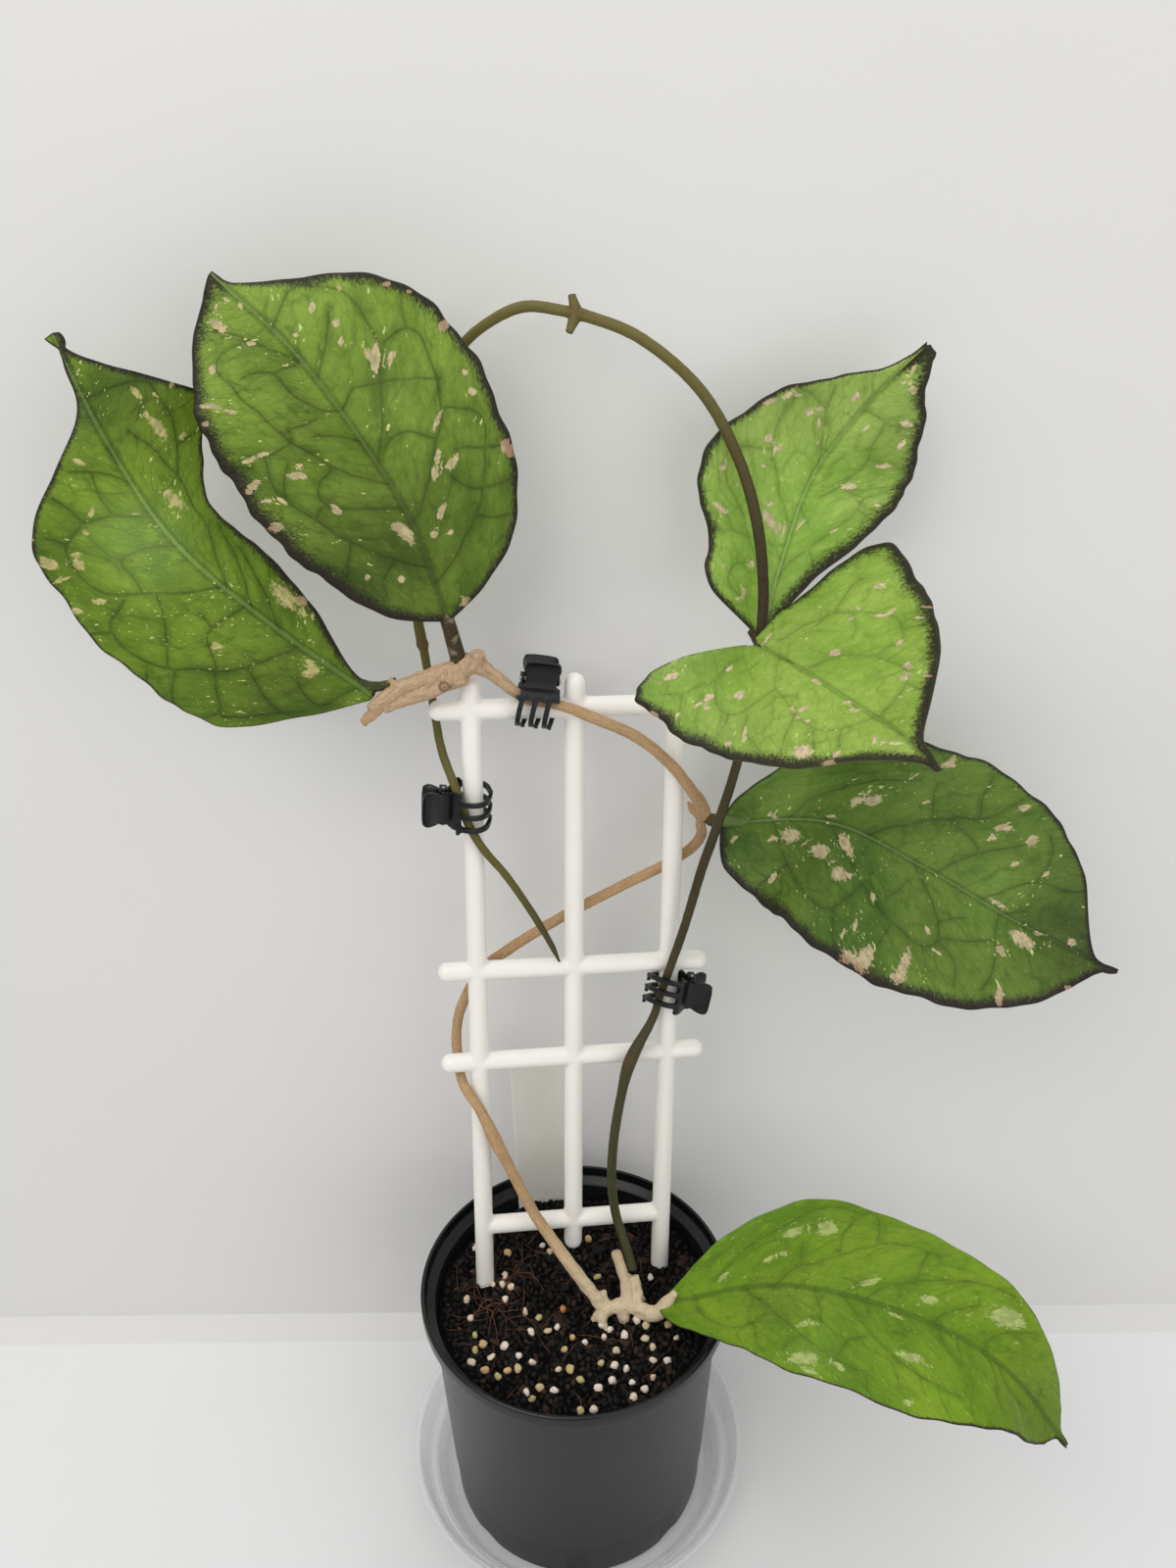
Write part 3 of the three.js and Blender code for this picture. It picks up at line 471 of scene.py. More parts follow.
def paperFinish(name, tone, openBack):
    f = Finish(name)
    grain = f.noise(f.place(), 60, 2)
    colour = f.blend(grain, tone, tuple(c * 0.97 for c in tone[:3]) + (1,))
    if not openBack:                    # the table has its own tone where the board stands on it
        foot = f.place().axis("Y").between(studio["foot"], studio["foot"] + 0.6)
        colour = f.blend(foot, colour, studio["footTone"])
    # the board glows a little though it is no lamp: painted light
    paper = f.node("ShaderNodeBsdfPrincipled", {}, {
        "Base Color": colour, "Roughness": 0.7, "Emission Color": (1, 1, 1, 1),
        "Emission Strength": studio["paintedLightLevel"] if openBack else 0.0})
    if openBack:                        # the board is open from behind, so that it never hides the plant
        back = f.node("ShaderNodeNewGeometry", out="Backfacing")
        clear = f.node("ShaderNodeBsdfTransparent")
        paper = f.node("ShaderNodeMixShader", {}, {0: back, 1: paper, 2: clear})
    f.node("ShaderNodeOutputMaterial", {}, {"Surface": paper})
    return f.material


def panel(name, corners, finish):
    return mesh(name, [Vector(corner) * mm for corner in corners], [(0, 1, 2, 3)], finish, smooth=False)


wide = studio["table"] / 2
table = panel("table", [(-wide, -wide, 0), (wide, -wide, 0), (wide, wide, 0), (-wide, wide, 0)],
              paperFinish("white table", studio["tableTone"], False))
wide, back, high = studio["boardWide"] / 2, studio["board"], studio["boardHigh"]
board = panel("board", [(-wide, back, 0), (wide, back, 0), (wide, back, high), (-wide, back, high)],
              paperFinish("white board", studio["boardTone"], True))
board.visible_shadow = False
for name, place, aim, size, power, tone in studio["lights"]:
    lamp = bpy.data.lights.new(name, "AREA")
    lamp.size = size * mm
    lamp.energy = power
    lamp.color = tone[:3]
    light = show(bpy.data.objects.new(name, lamp))
    light.location = Vector(place) * mm
    light.rotation_euler = (Vector(aim) - Vector(place)).to_track_quat("-Z", "Y").to_euler()
world = bpy.data.worlds.new("studio")
world.use_nodes = True
world.node_tree.nodes["Background"].inputs["Color"].default_value = studio["sky"]
world.node_tree.nodes["Background"].inputs["Strength"].default_value = studio["skyStrength"]
bpy.context.scene.world = world
print("studio ready")


# saucer: clear plastic, ringed floor, stepped wall
saucer = {
    "profile": [
        (0, 0), (45, 0), (47, 0.6), (50.5, 6.6), (52.8, 7.2), (56, 13.4), (57.5, 13.8), (57.5, 15),
        (55.6, 15), (51.8, 8.4), (49.6, 7.8), (46.2, 1.9), (44.5, 1.2), (40.2, 1.2), (40.2, 1.7),
        (38.8, 1.7), (38.8, 1.2), (26.2, 1.2), (26.2, 1.7), (24.8, 1.7), (24.8, 1.2), (0, 1.2)],
    "rounding": 0.4, "sides": 160,
}


def clearFinish():
    f = Finish("clear plastic")
    place = f.place()
    scuff = f.noise(place, 1.4, 3, 0.6).between(0.5, 0.72)
    rim = f.node("ShaderNodeLayerWeight", {}, {"Blend": 0.45}, "Facing")
    haze = f.noise(place, 14, 2)
    alpha = 0.1 + rim.between(0.25, 0.95) * 0.42 + scuff * 0.04 + haze * 0.05
    return f.done({
        "Base Color": f.blend(haze, shade(246, 247, 248), shade(234, 236, 238)),
        "Roughness": 0.12 + scuff * 0.2, "Alpha": alpha, "Specular IOR Level": 0.8,
        "Normal": f.bump(f.noise(place, 5, 2), 0.12)})


dish = lathe("saucerDish", rounded(saucer["profile"], saucer["rounding"]), saucer["sides"], clearFinish())
carry(dish, plant, "clear_plastic", "saucer")
print("saucer ready")


# pot: tapered charcoal nursery pot with a rolled lip, a faint step, feet and drain holes
pot = {
    "bottom": 2, "recess": 4, "step": 17, "top": 90, "baseR": 42.5, "neckR": 46.7, "rimR": 50, "wall": 1.2,
    "lip": 4.8, "floor": 5.4, "drains": 6, "drainR": 3.6, "drainRing": 27, "drainTurn": 15,
    "drainCut": (3, 7), "feet": 8, "archR": 8, "archHalf": 6, "archAxis": -4.4, "sides": 160,
}
lipLow = pot["top"] - pot["lip"]


def innerRadius(z):
    low, high = pot["baseR"] - pot["wall"], pot["neckR"] - pot["wall"]
    return low + (high - low) * (z - pot["bottom"]) / (lipLow - pot["bottom"])


def potFinish():
    f = Finish("charcoal plastic")
    place = f.place()
    height = place.axis("Z")
    lip = height.between(lipLow - 0.8, lipLow + 0.2)
    fine = f.noise(place, 0.8, 3, 0.6)
    drift = f.noise(place.vector("MULTIPLY", (1, 1, 0.25)), 16, 3)
    scuff = f.noise(place.vector("MULTIPLY", (1, 1, 3.5)), 5, 4, 0.7).between(0.56, 0.75)
    dust = (f.noise(place, 2.2, 4, 0.7) - 0.1 * (pot["top"] - height) * lip).between(0.62, 0.8) * lip
    body = f.blend(drift, shade(15, 16, 19), shade(24, 25, 28))
    body = f.blend(scuff * 0.2, body, shade(70, 70, 73))
    body = f.blend(lip * 0.75, body, shade(12, 14, 16))
    body = f.blend(dust * 0.3, body, shade(80, 68, 54))
    return f.done({
        "Base Color": body, "Roughness": 0.3 + fine * 0.1 + scuff * 0.12 - lip * 0.1,
        "Specular IOR Level": 0.38, "Normal": f.bump(fine + drift * 2, 0.05)})


def potProfile():
    foot, recess, top = pot["bottom"], pot["recess"], pot["top"]
    base, neck, rim = pot["baseR"], pot["neckR"], pot["rimR"]
    return [
        (0, recess), (base - 3, recess), (base - 2.4, foot), (base, foot), (base + 0.5, pot["step"]),
        (base + 1, pot["step"] + 0.6), (neck, lipLow - 0.8), (rim - 0.5, lipLow), (rim, lipLow + 0.5),
        (rim, top - 0.5), (rim - 0.5, top), (rim - 1.3, top), (rim - 1.6, lipLow + 1.4),
        (innerRadius(lipLow), lipLow - 0.6), (innerRadius(pot["floor"]), pot["floor"]), (0, pot["floor"])]


def drum(radius, start, end, sides):
    start, end = Vector(start), Vector(end)
    turn = (end - start).normalized().to_track_quat("Z", "Y")
    circle = [turn @ Vector((x, y, 0)) for x, y in ring(radius, sides)]
    points = [(spot + side) * mm for spot in (start, end) for side in circle]
    faces = [(k, (k + 1) % sides, sides + (k + 1) % sides, sides + k) for k in range(sides)]
    faces += [tuple(range(sides))[::-1], tuple(range(sides, 2 * sides))]
    return points, faces


def joined(parts):
    points, faces = [], []
    for some, loops in parts:
        shift = len(points)
        points += some
        faces += [tuple(i + shift for i in loop) for loop in loops]
    return points, faces


cuts = []
for i in range(pot["drains"] + 1):      # drain holes in a ring, the last one in the middle
    a = math.radians(i * 360 / pot["drains"] + pot["drainTurn"])
    reach = pot["drainRing"] if i < pot["drains"] else 0
    x, y = math.cos(a) * reach, math.sin(a) * reach
    cuts.append(drum(pot["drainR"], *((x, y, z) for z in pot["drainCut"]), 32))
for i in range(pot["feet"]):            # arches that leave the feet standing
    a = math.radians(i * 360 / pot["feet"])
    out = Vector((math.cos(a), math.sin(a), 0))
    centre = out * (pot["baseR"] - 1.5) + Vector((0, 0, pot["archAxis"]))
    cuts.append(drum(pot["archR"], centre - out * pot["archHalf"], centre + out * pot["archHalf"], 48))
potShell = lathe("potShell", rounded(potProfile(), 0.5), pot["sides"], potFinish())
cutter = mesh("cutter", *joined(cuts), smooth=False)
bore = potShell.modifiers.new("holes", "BOOLEAN")
bore.operation = "DIFFERENCE"
bore.object = cutter
bore.solver = "EXACT"
potShell = settled(potShell, "potShell", potShell.data.materials[0])
bpy.data.objects.remove(cutter)
potShell.data.set_sharp_from_angle(angle=math.radians(40))
carry(potShell, plant, "pot_plastic", "pot")
print("pot ready")


# trellis: one moulded ladder of round bars with domed ends
trellis = {
    "origin": (-0.5, 14, 102), "yaw": 6.81, "lean": 8.29, "roll": 1.98, "barR": 3, "spacing": 29.5,
    "levels": (61.5, 93, 175), "reach": 41.5, "top": 185, "leg": 50, "middleFoot": -11.5, "point": 6,
    "pointR": 0.7, "voxel": 0.55,
}
yaw, lean, roll = (math.radians(trellis[k]) for k in ("yaw", "lean", "roll"))
across = Vector((math.cos(yaw), math.sin(yaw), 0))
back = Vector((-math.sin(yaw), math.cos(yaw), 0))
up = Vector((0, 0, math.cos(lean))) + back * math.sin(lean)
rolledUp = up * math.cos(roll) + across * math.sin(roll)
across = (across * math.cos(roll) - Vector((0, 0, math.sin(roll)))).normalized()
away = rolledUp.cross(across).normalized()
up = rolledUp.normalized()
toTrellis = Matrix((
    (across.x, away.x, up.x, trellis["origin"][0]), (across.y, away.y, up.y, trellis["origin"][1]),
    (across.z, away.z, up.z, trellis["origin"][2]), (0, 0, 0, 1)))


def onTrellis(u, out, v):
    return toTrellis @ Vector((u, out, v))


def held(u, out, v, radius):
    return [*onTrellis(u, out, v), radius]


def bar(start, end, pointed=False):
    a, b = onTrellis(*start), onTrellis(*end)
    radius = trellis["barR"]
    way = (b - a).normalized()
    first = [(*(a + way * radius), radius)]
    if pointed:                         # a leg that narrows to push into the mix
        first = [(*a, trellis["pointR"]), (*(a + way * trellis["point"]), radius)]
    return domed(first + [(*(b - way * radius), radius)], (0.3 if pointed else 1, 1))


def trellisFinish():
    f = Finish("white moulded plastic")
    place = f.place()
    drift = f.noise(place, 22, 3)
    fine = f.noise(place, 1.1, 3, 0.6)
    scuff = f.noise(place.vector("MULTIPLY", (2, 2, 0.6)), 3.2, 4, 0.7).between(0.62, 0.78)
    soil = (f.noise(place, 1.6, 4, 0.7) + (84 - place.axis("Z")) * 0.03).between(0.6, 0.9)
    tone = f.blend(drift, shade(240, 237, 231), shade(232, 228, 221))
    tone = f.blend(scuff * 0.25, tone, shade(214, 209, 200))
    tone = f.blend(soil * 0.5, tone, shade(150, 134, 112))
    return f.done({
        "Base Color": tone, "Roughness": 0.3 + fine * 0.1 + scuff * 0.15, "Coat Weight": 0.15,
        "Normal": f.bump(fine * 0.4 + drift, 0.06)})


spacing, reach, top, leg = (trellis[k] for k in ("spacing", "reach", "top", "leg"))
bars = [
    bar((-spacing, 0, -leg), (-spacing, 0, top), True), bar((spacing, 0, -leg), (spacing, 0, top), True),
    bar((0, 0, trellis["middleFoot"]), (0, 0, top)), bar((-spacing, 0, 0), (spacing, 0, 0)),
    *[bar((-reach, 0, v), (reach, 0, v)) for v in trellis["levels"]]]
trellisFrame = fused(stems("bars", bars, None, 32), "trellisFrame", trellisFinish(), trellis["voxel"], 4)
carry(trellisFrame, plant, "trellis_plastic", "trellis")
print("trellis ready")


# plant tag: a thin off-white label by the back wall, left bare
tag = {
    "place": (-11.6, 41.5, 80), "yaw": 15.6, "lean": -3, "wide": 18, "thick": 0.9, "top": 64, "long": 92,
    "point": (3, 9), "shoulder": 22, "corner": 2, "edge": 0.2,
}


def tagFinish():
    f = Finish("off-white label plastic")
    place = f.place()
    drift = f.noise(place, 12, 3)
    rub = f.noise(place.vector("MULTIPLY", (0.5, 0.5, 3)), 2.5, 4, 0.7).between(0.58, 0.74)
    soil = (f.noise(place, 1.5, 4, 0.7) + (90 - place.axis("Z")) * 0.02).between(0.6, 0.95)
    tone = f.blend(drift, shade(232, 229, 222), shade(222, 218, 209))
    tone = f.blend(rub * 0.3, tone, shade(200, 196, 188))
    tone = f.blend(soil * 0.6, tone, shade(120, 104, 84))
    return f.done({
        "Base Color": tone, "Roughness": 0.45 + rub * 0.2, "Normal": f.bump(f.noise(place, 0.9, 3), 0.03)})


halfWide, foot = tag["wide"] / 2, tag["top"] - tag["long"]
cornerX, cornerZ = halfWide - tag["corner"], tag["top"] - tag["corner"]
outline = [(0, foot), (tag["point"][0], foot + tag["point"][1]), (halfWide, foot + tag["shoulder"])]
outline += [(halfWide, cornerZ)]
for a in (0.4, 0.8, 1.2):
    outline.append((cornerX + tag["corner"] * math.cos(a), cornerZ + tag["corner"] * math.sin(a)))
outline += [(cornerX, tag["top"])]
outline += [(-x, z) for x, z in outline[::-1][:-1]]
toTag = (Matrix.Translation(tag["place"]) @ Matrix.Rotation(math.radians(tag["yaw"]), 4, "Z")
         @ Matrix.Rotation(math.radians(tag["lean"]), 4, "X"))
n = len(outline)
points = [toTag @ Vector((x, out * tag["thick"] / 2, z)) * mm for out in (-1, 1) for x, z in outline]
faces = [tuple(range(n)), tuple(range(n, 2 * n))[::-1]]
faces += [((k + 1) % n, k, n + k, n + (k + 1) % n) for k in range(n)]
plantTag = mesh("plantTag", points, faces, smooth=False)
edge = plantTag.modifiers.new("edge", "BEVEL")
edge.width = tag["edge"] * mm
edge.segments = 2
plantTag = settled(plantTag, "plantTag", tagFinish())
carry(plantTag, plant, "label_plastic", "plant_label")
print("tag ready")


# woody vine: crown, twining stem, spur with two fingers
woody = {
    "twine": [
        [9.2, -6.6, 84, 2.3], [3.4, -3.6, 91.2, 2.15], [-2.4, -0.4, 98.4, 2.05], [-8.2, 3.6, 105.6, 1.9],
        [-13, 6.6, 112.4, 1.8], [-20.2, 9, 129.7, 1.75], [-24.6, 9.6, 141.5, 2.15],
        [-28.6, 11.4, 151.4, 1.65], [-33.2, 15.6, 156.6, 1.6], [-35.4, 21.4, 158, 1.6],
        [-36.4, 26, 162.4, 1.6], [-36.4, 29, 169.4, 1.6], [-34, 29.8, 178.6, 1.65],
        [-27.6, 32.2, 189.6, 1.65], [-20.3, 33, 195.6, 1.7], [-9.8, 36, 201.4, 1.65],
        [2, 37.4, 208.2, 1.65], [17.7, 41, 215.1, 1.65], [30.3, 43.2, 220.8, 1.7], [37.1, 42.6, 226.4, 1.7],
        [39.8, 39.6, 232.8, 1.65], [39.2, 37.2, 238.6, 1.45], [39.8, 36.4, 241.8, 2.4],
        [38.6, 35.4, 246, 2.1], [35.8, 34, 251, 1.75], [30.2, 33.4, 259, 1.65], [20.3, 33.2, 268.2, 1.65],
        [8, 32.8, 274.6, 1.65], held(-4, -4.6, 176.6, 1.5), held(-9, -3.9, 177.7, 1.45),
        held(-14.2, -3.2, 178.6, 1.5), [-19.6, 34.8, 287, 1.9], [-25.5, 34.6, 291.2, 3]],
    "crown": [
        [[5.2, -8.8, 80.8, 0.9], [7.6, -8, 82.2, 1.8], [9.4, -7.2, 83.4, 2.5], [11.5, -6.6, 84, 2.3],
         [15, -6.2, 84.2, 2.5], [18.6, -6.4, 84.2, 2.5], [21.8, -8, 84, 2.7], [23.6, -9.2, 84, 2.4]],
        [[8.4, -8.4, 82.6, 1.9], [9.8, -11.6, 79.2, 0.9]],
        [[9.6, -5.6, 84.2, 2], [8.8, -3.6, 87.6, 1.3]],
        [[17.2, -6, 84.4, 2.2], [16, -1.4, 91, 1.8], [13.4, 2.2, 99, 1.75]],
        [[19.4, -5.8, 84.4, 2.2], [19.9, -3.2, 87, 2], [19.2, -0.6, 91, 1.7]],
        [[15.6, -6.8, 83.6, 2.2], [15.4, -8, 77, 2.2], [13, -6, 66, 1.9], [12, -3, 55, 1]]],
    "spur": [
        [[-25.5, 34.6, 291.2, 3], [-29, 34, 289.4, 3.1], [-36.7, 32.6, 287.8, 2.5],
         [-44.7, 30.5, 285.4, 2.1], [-51, 27.9, 281.6, 2.2], [-53, 26.8, 280.6, 2.1]],
        [[-28, 32.6, 287.4, 2.2], [-36.7, 30.7, 284.3, 1.9], [-43.5, 29.3, 282.2, 1.6],
         [-49.6, 28, 280.2, 1.1]],
        [[-51.4, 27.2, 280.4, 1.7], [-55.2, 25.2, 277.6, 1.3]],
        [[-24.8, 34.2, 289.8, 2.3], [-23.4, 33.4, 294, 2.2]],
        [[-28.4, 34, 289.4, 2.6], [-28.9, 34.1, 292.2, 2.6]],
        [[-32.2, 32.2, 287.4, 2.0], [-32.6, 29.3, 286.3, 1.7]],
        [[-45, 30.6, 285.6, 1.4], [-48, 31.4, 287.6, 0.9]],
        [[39.2, 36.8, 241, 1.7], [36.8, 36.8, 242.8, 1.2], [35.3, 36.6, 245.6, 0.5]]],
    "eye": (-32.7, 29, 286.2),          # the round scar on the spur
    "voxel": 0.38, "knobs": 0.45, "knobSize": 2.6,
    # old wood is knobbier: below one height at the crown; left of one x and above one height on the spur.
    # After each comes the distance over which it fades
    "oldKnobs": 0.5, "oldCrown": (98, 10), "oldSpur": (-15, 8, 270, 8),
}


def barkFinish():
    f = Finish("tan bark")
    place = f.place()
    lay = f.measured("side", "Vector").grown(2.2).vector("ADD", place.vector("MULTIPLY", (0.12, 0.12, 0.12)))
    height = place.axis("Z")
    streak = f.noise(lay, 0.55, 4, 0.65)
    fleck = f.noise(place, 0.55, 3, 0.65)
    patch = f.noise(place, 6, 3)
    pale = (height + patch * 14).between(122, 92)       # towards the crown
    spur = (height - patch * 6).between(273, 282)
    tone = f.blend(patch, shade(192, 158, 116), shade(164, 130, 92))
    tone = f.blend(pale, tone, shade(214, 196, 164))
    tone = f.blend(spur * 0.8, tone, shade(186, 158, 130))
    tone = f.blend(fleck.between(0.54, 0.68) * 0.3, tone, shade(228, 208, 178))
    tone = f.blend(fleck.between(0.44, 0.34) * 0.35, tone, shade(122, 92, 64))
    # streaks along the bark: partly the bark's own streaks, partly painted shade in their furrows and a
    # painted highlight on their ridges
    tone = f.blend(streak.between(0.5, 0.3) * (0.35 + spur * 0.3), tone, shade(108, 82, 60))
    tone = f.blend(streak.between(0.55, 0.72) * 0.4, tone, shade(226, 204, 170))
    eye = place.vector("SUBTRACT", woody["eye"]).length()
    tone = f.blend(eye.between(2.0, 1.6) * eye.between(0.9, 1.2) * 0.7, tone, shade(104, 66, 48))
    tone = f.blend(eye.between(0.9, 0.5) * 0.5, tone, shade(150, 106, 80))
    rough = f.noise(place, 1.6, 4, 0.7)
    return f.done({
        "Base Color": tone, "Roughness": 0.68 + fleck * 0.2, "Specular IOR Level": 0.25,
        "Normal": f.bump(fleck * 0.15 + streak + rough * 0.35, 0.26)})


woodyPaths = [domed(route(path), (0.35, 0.3)) for path in (woody["twine"], *woody["crown"], *woody["spur"])]
bark = barkFinish()
wood = stems("wood", woodyPaths, None, 18, woody["knobs"], woody["knobSize"])
woodyVine = fused(wood, "woodyVine", bark, woody["voxel"], 2)


def oldWood(here):                      # 0 on the twining stem, 1 at the crown and on the spur
    def grown(gap, fade):
        return min(1, max(0, gap / fade))

    crownTop, crownFade = woody["oldCrown"]
    spurRight, rightFade, spurLow, lowFade = woody["oldSpur"]
    onSpur = grown(spurRight - here.x, rightFade) * grown(here.z - spurLow, lowFade)
    return grown(crownTop - here.z, crownFade) + onSpur


outward = [vertex.normal.copy() for vertex in woodyVine.data.vertices]
for vertex, out in zip(woodyVine.data.vertices, outward):
    here = vertex.co / mm
    old = oldWood(here)
    if old > 0:
        bulge = noise.noise(here / woody["knobSize"]) + noise.noise(here / 1.1) * 0.3
        vertex.co += out * bulge * old * woody["oldKnobs"] * mm
follow(woodyVine, woodyPaths)
carry(woodyVine, plant, "woody_stem", "woody_vine")
print("woody vine ready")


# green vine: young stem from the crown up the right side, over the top and down the left
green = {
    "path": [
        [18.6, 0.6, 93.4, 1.6], [16.4, 4.2, 100.4, 1.6], [13.6, 8.6, 108.4, 1.5], [12.2, 10.6, 121.1, 1.5],
        [12.8, 12.2, 136.6, 1.5], [15, 15, 151.6, 1.5], [18.2, 18.2, 164.5, 2.1], held(24.6, -3.5, 76, 1.3),
        held(26.1, -3.5, 82.2, 1.25), held(27.7, -4.2, 88.4, 1.3), [34, 25.8, 207.6, 1.35],
        [39.1, 25.7, 230, 1.4], [42.9, 24.3, 245.4, 1.4], [47.3, 23.8, 264.4, 1.3], [50.8, 25, 283, 1.35],
        [52.1, 26.7, 296, 1.4], [52.3, 27.1, 298.9, 2], [52.5, 27.5, 301.6, 1.45],
        [52.6, 29.2, 313.2, 1.45], [50.1, 31.5, 330.8, 1.5], [44.3, 35.2, 347.5, 1.45],
        [34.6, 38.3, 362.7, 1.45], [19.3, 40.2, 374.7, 1.45], [7.6, 42.5, 379, 1.45],
        [4.4, 43.1, 379.7, 1.9], [1.4, 43.7, 380.3, 1.4], [-8.5, 45.8, 381.2, 1.4],
        [-18.1, 48.1, 377.1, 1.35], [-25.4, 50.4, 371, 1.35], [-32.5, 51.9, 359.9, 1.3],
        [-38.3, 51.3, 339.7, 1.3], [-40.6, 49, 318.9, 1.3], [-41, 46, 298.7, 1.45],
        [-40.5, 45.5, 294.4, 1.5], [-40.2, 45.1, 292.3, 1.9], [-39.9, 44.8, 290.7, 1.25],
        [-38.9, 43.8, 282.2, 1.2], [-38, 43.4, 272.3, 1.2], [-36, 38, 262.8, 1.25],
        held(-34.2, -3, 152, 1.25), held(-32.6, -3.9, 147, 1.25), held(-31, -4.8, 142, 1.25),
        [-24.4, 25.6, 236.8, 1.2], [-18.6, 26.2, 228, 1.15], [-10.6, 26.8, 213, 1.1],
        [-5.4, 26, 202.4, 0.9], [-3.4, 25, 197.8, 0.4]],
    "stubs": [
        [[4.4, 43.1, 379.7, 1.7], [2.6, 40.8, 375.8, 1]], [[4.4, 43.1, 379.7, 1.7], [3.4, 43.6, 384, 1]],
        [[52.3, 27.1, 298.9, 1.8], [49.4, 27.2, 302, 0.9]],
        [[40, 36.2, 240.2, 1.2], [42.3, 35, 240.4, 1.95], [45.6, 33.4, 240.8, 1.8]]],
    "joints": [(18.2, 18.2, 164.5), (52.3, 27.1, 298.9), (4.4, 43.1, 379.7), (-40.2, 45.1, 292.3)],
    # the radius between joints, what a joint adds, how sharply it swells and how far its tone reaches
    "slim": 1.5, "swell": 0.7, "taper": 1.5, "jointReach": 3.6,
}


def stemFinish():
    f = Finish("olive stem skin")
    place = f.place()
    lay = f.measured("side", "Vector").grown(1.4).vector("ADD", place.vector("MULTIPLY", (0.1, 0.1, 0.1)))
    drift = f.noise(place, 30, 2)
    streak = f.noise(lay, 0.5, 3, 0.6)
    fleck = f.noise(place, 0.4, 3, 0.6)
    joint = f.measured("joint")
    height = place.axis("Z")
    arch = height.between(330, 376)
    tone = f.blend(drift.between(0.35, 0.65), shade(66, 58, 32), shade(56, 46, 28))
    tone = f.blend(place.axis("X").between(0, -20) * 0.9, tone, shade(92, 88, 38))
    tone = f.blend(height.between(200, 130) * 0.7, tone, shade(58, 62, 34))
    tone = f.blend(arch * 0.9, tone, shade(106, 98, 50))
    tone = f.blend(streak.between(0.45, 0.25) * 0.45, tone, shade(40, 32, 20))
    tone = f.blend(fleck.between(0.56, 0.72) * 0.35, tone, shade(136, 124, 78))
    tone = f.blend(joint * 0.8, tone, shade(94, 62, 42))
    tip = f.measured("run").between(560, 590) * height.between(222, 206)
    tone = f.blend(tip * 0.6, tone, shade(86, 58, 36))
    return f.done({
        "Base Color": tone, "Roughness": 0.42 + fleck * 0.2, "Specular IOR Level": 0.25,
        "Normal": f.bump(fleck + streak, 0.12)})


def slimBetween(path):                  # a joint swells only near its own point
    made = []
    for x, y, z, radius in path:
        extra = max(radius - green["slim"], 0)
        made.append((x, y, z, radius - extra + extra * (extra / green["swell"]) ** (green["taper"] - 1)))
    return made


def markJoints(thing):
    joints, reach = [Vector(spot) for spot in green["joints"]], green["jointReach"]
    gaps = [min((vertex.co / mm - joint).length for joint in joints) for vertex in thing.data.vertices]
    stamp(thing, "joint", [max(0.0, 1 - gap / reach) for gap in gaps])


stemSkin = stemFinish()
greenPaths = [domed(slimBetween(route(green["path"])), (0.4, 1.2))]
greenPaths += [domed(route(path), (0.4, 0.3)) for path in green["stubs"]]
greenVine = settled(stems("young stem", greenPaths, None, 18, 0.22, 2.2), "greenVine", stemSkin)
markJoints(greenVine)
carry(greenVine, plant, "green_stem", "green_vine")
print("green vine ready")
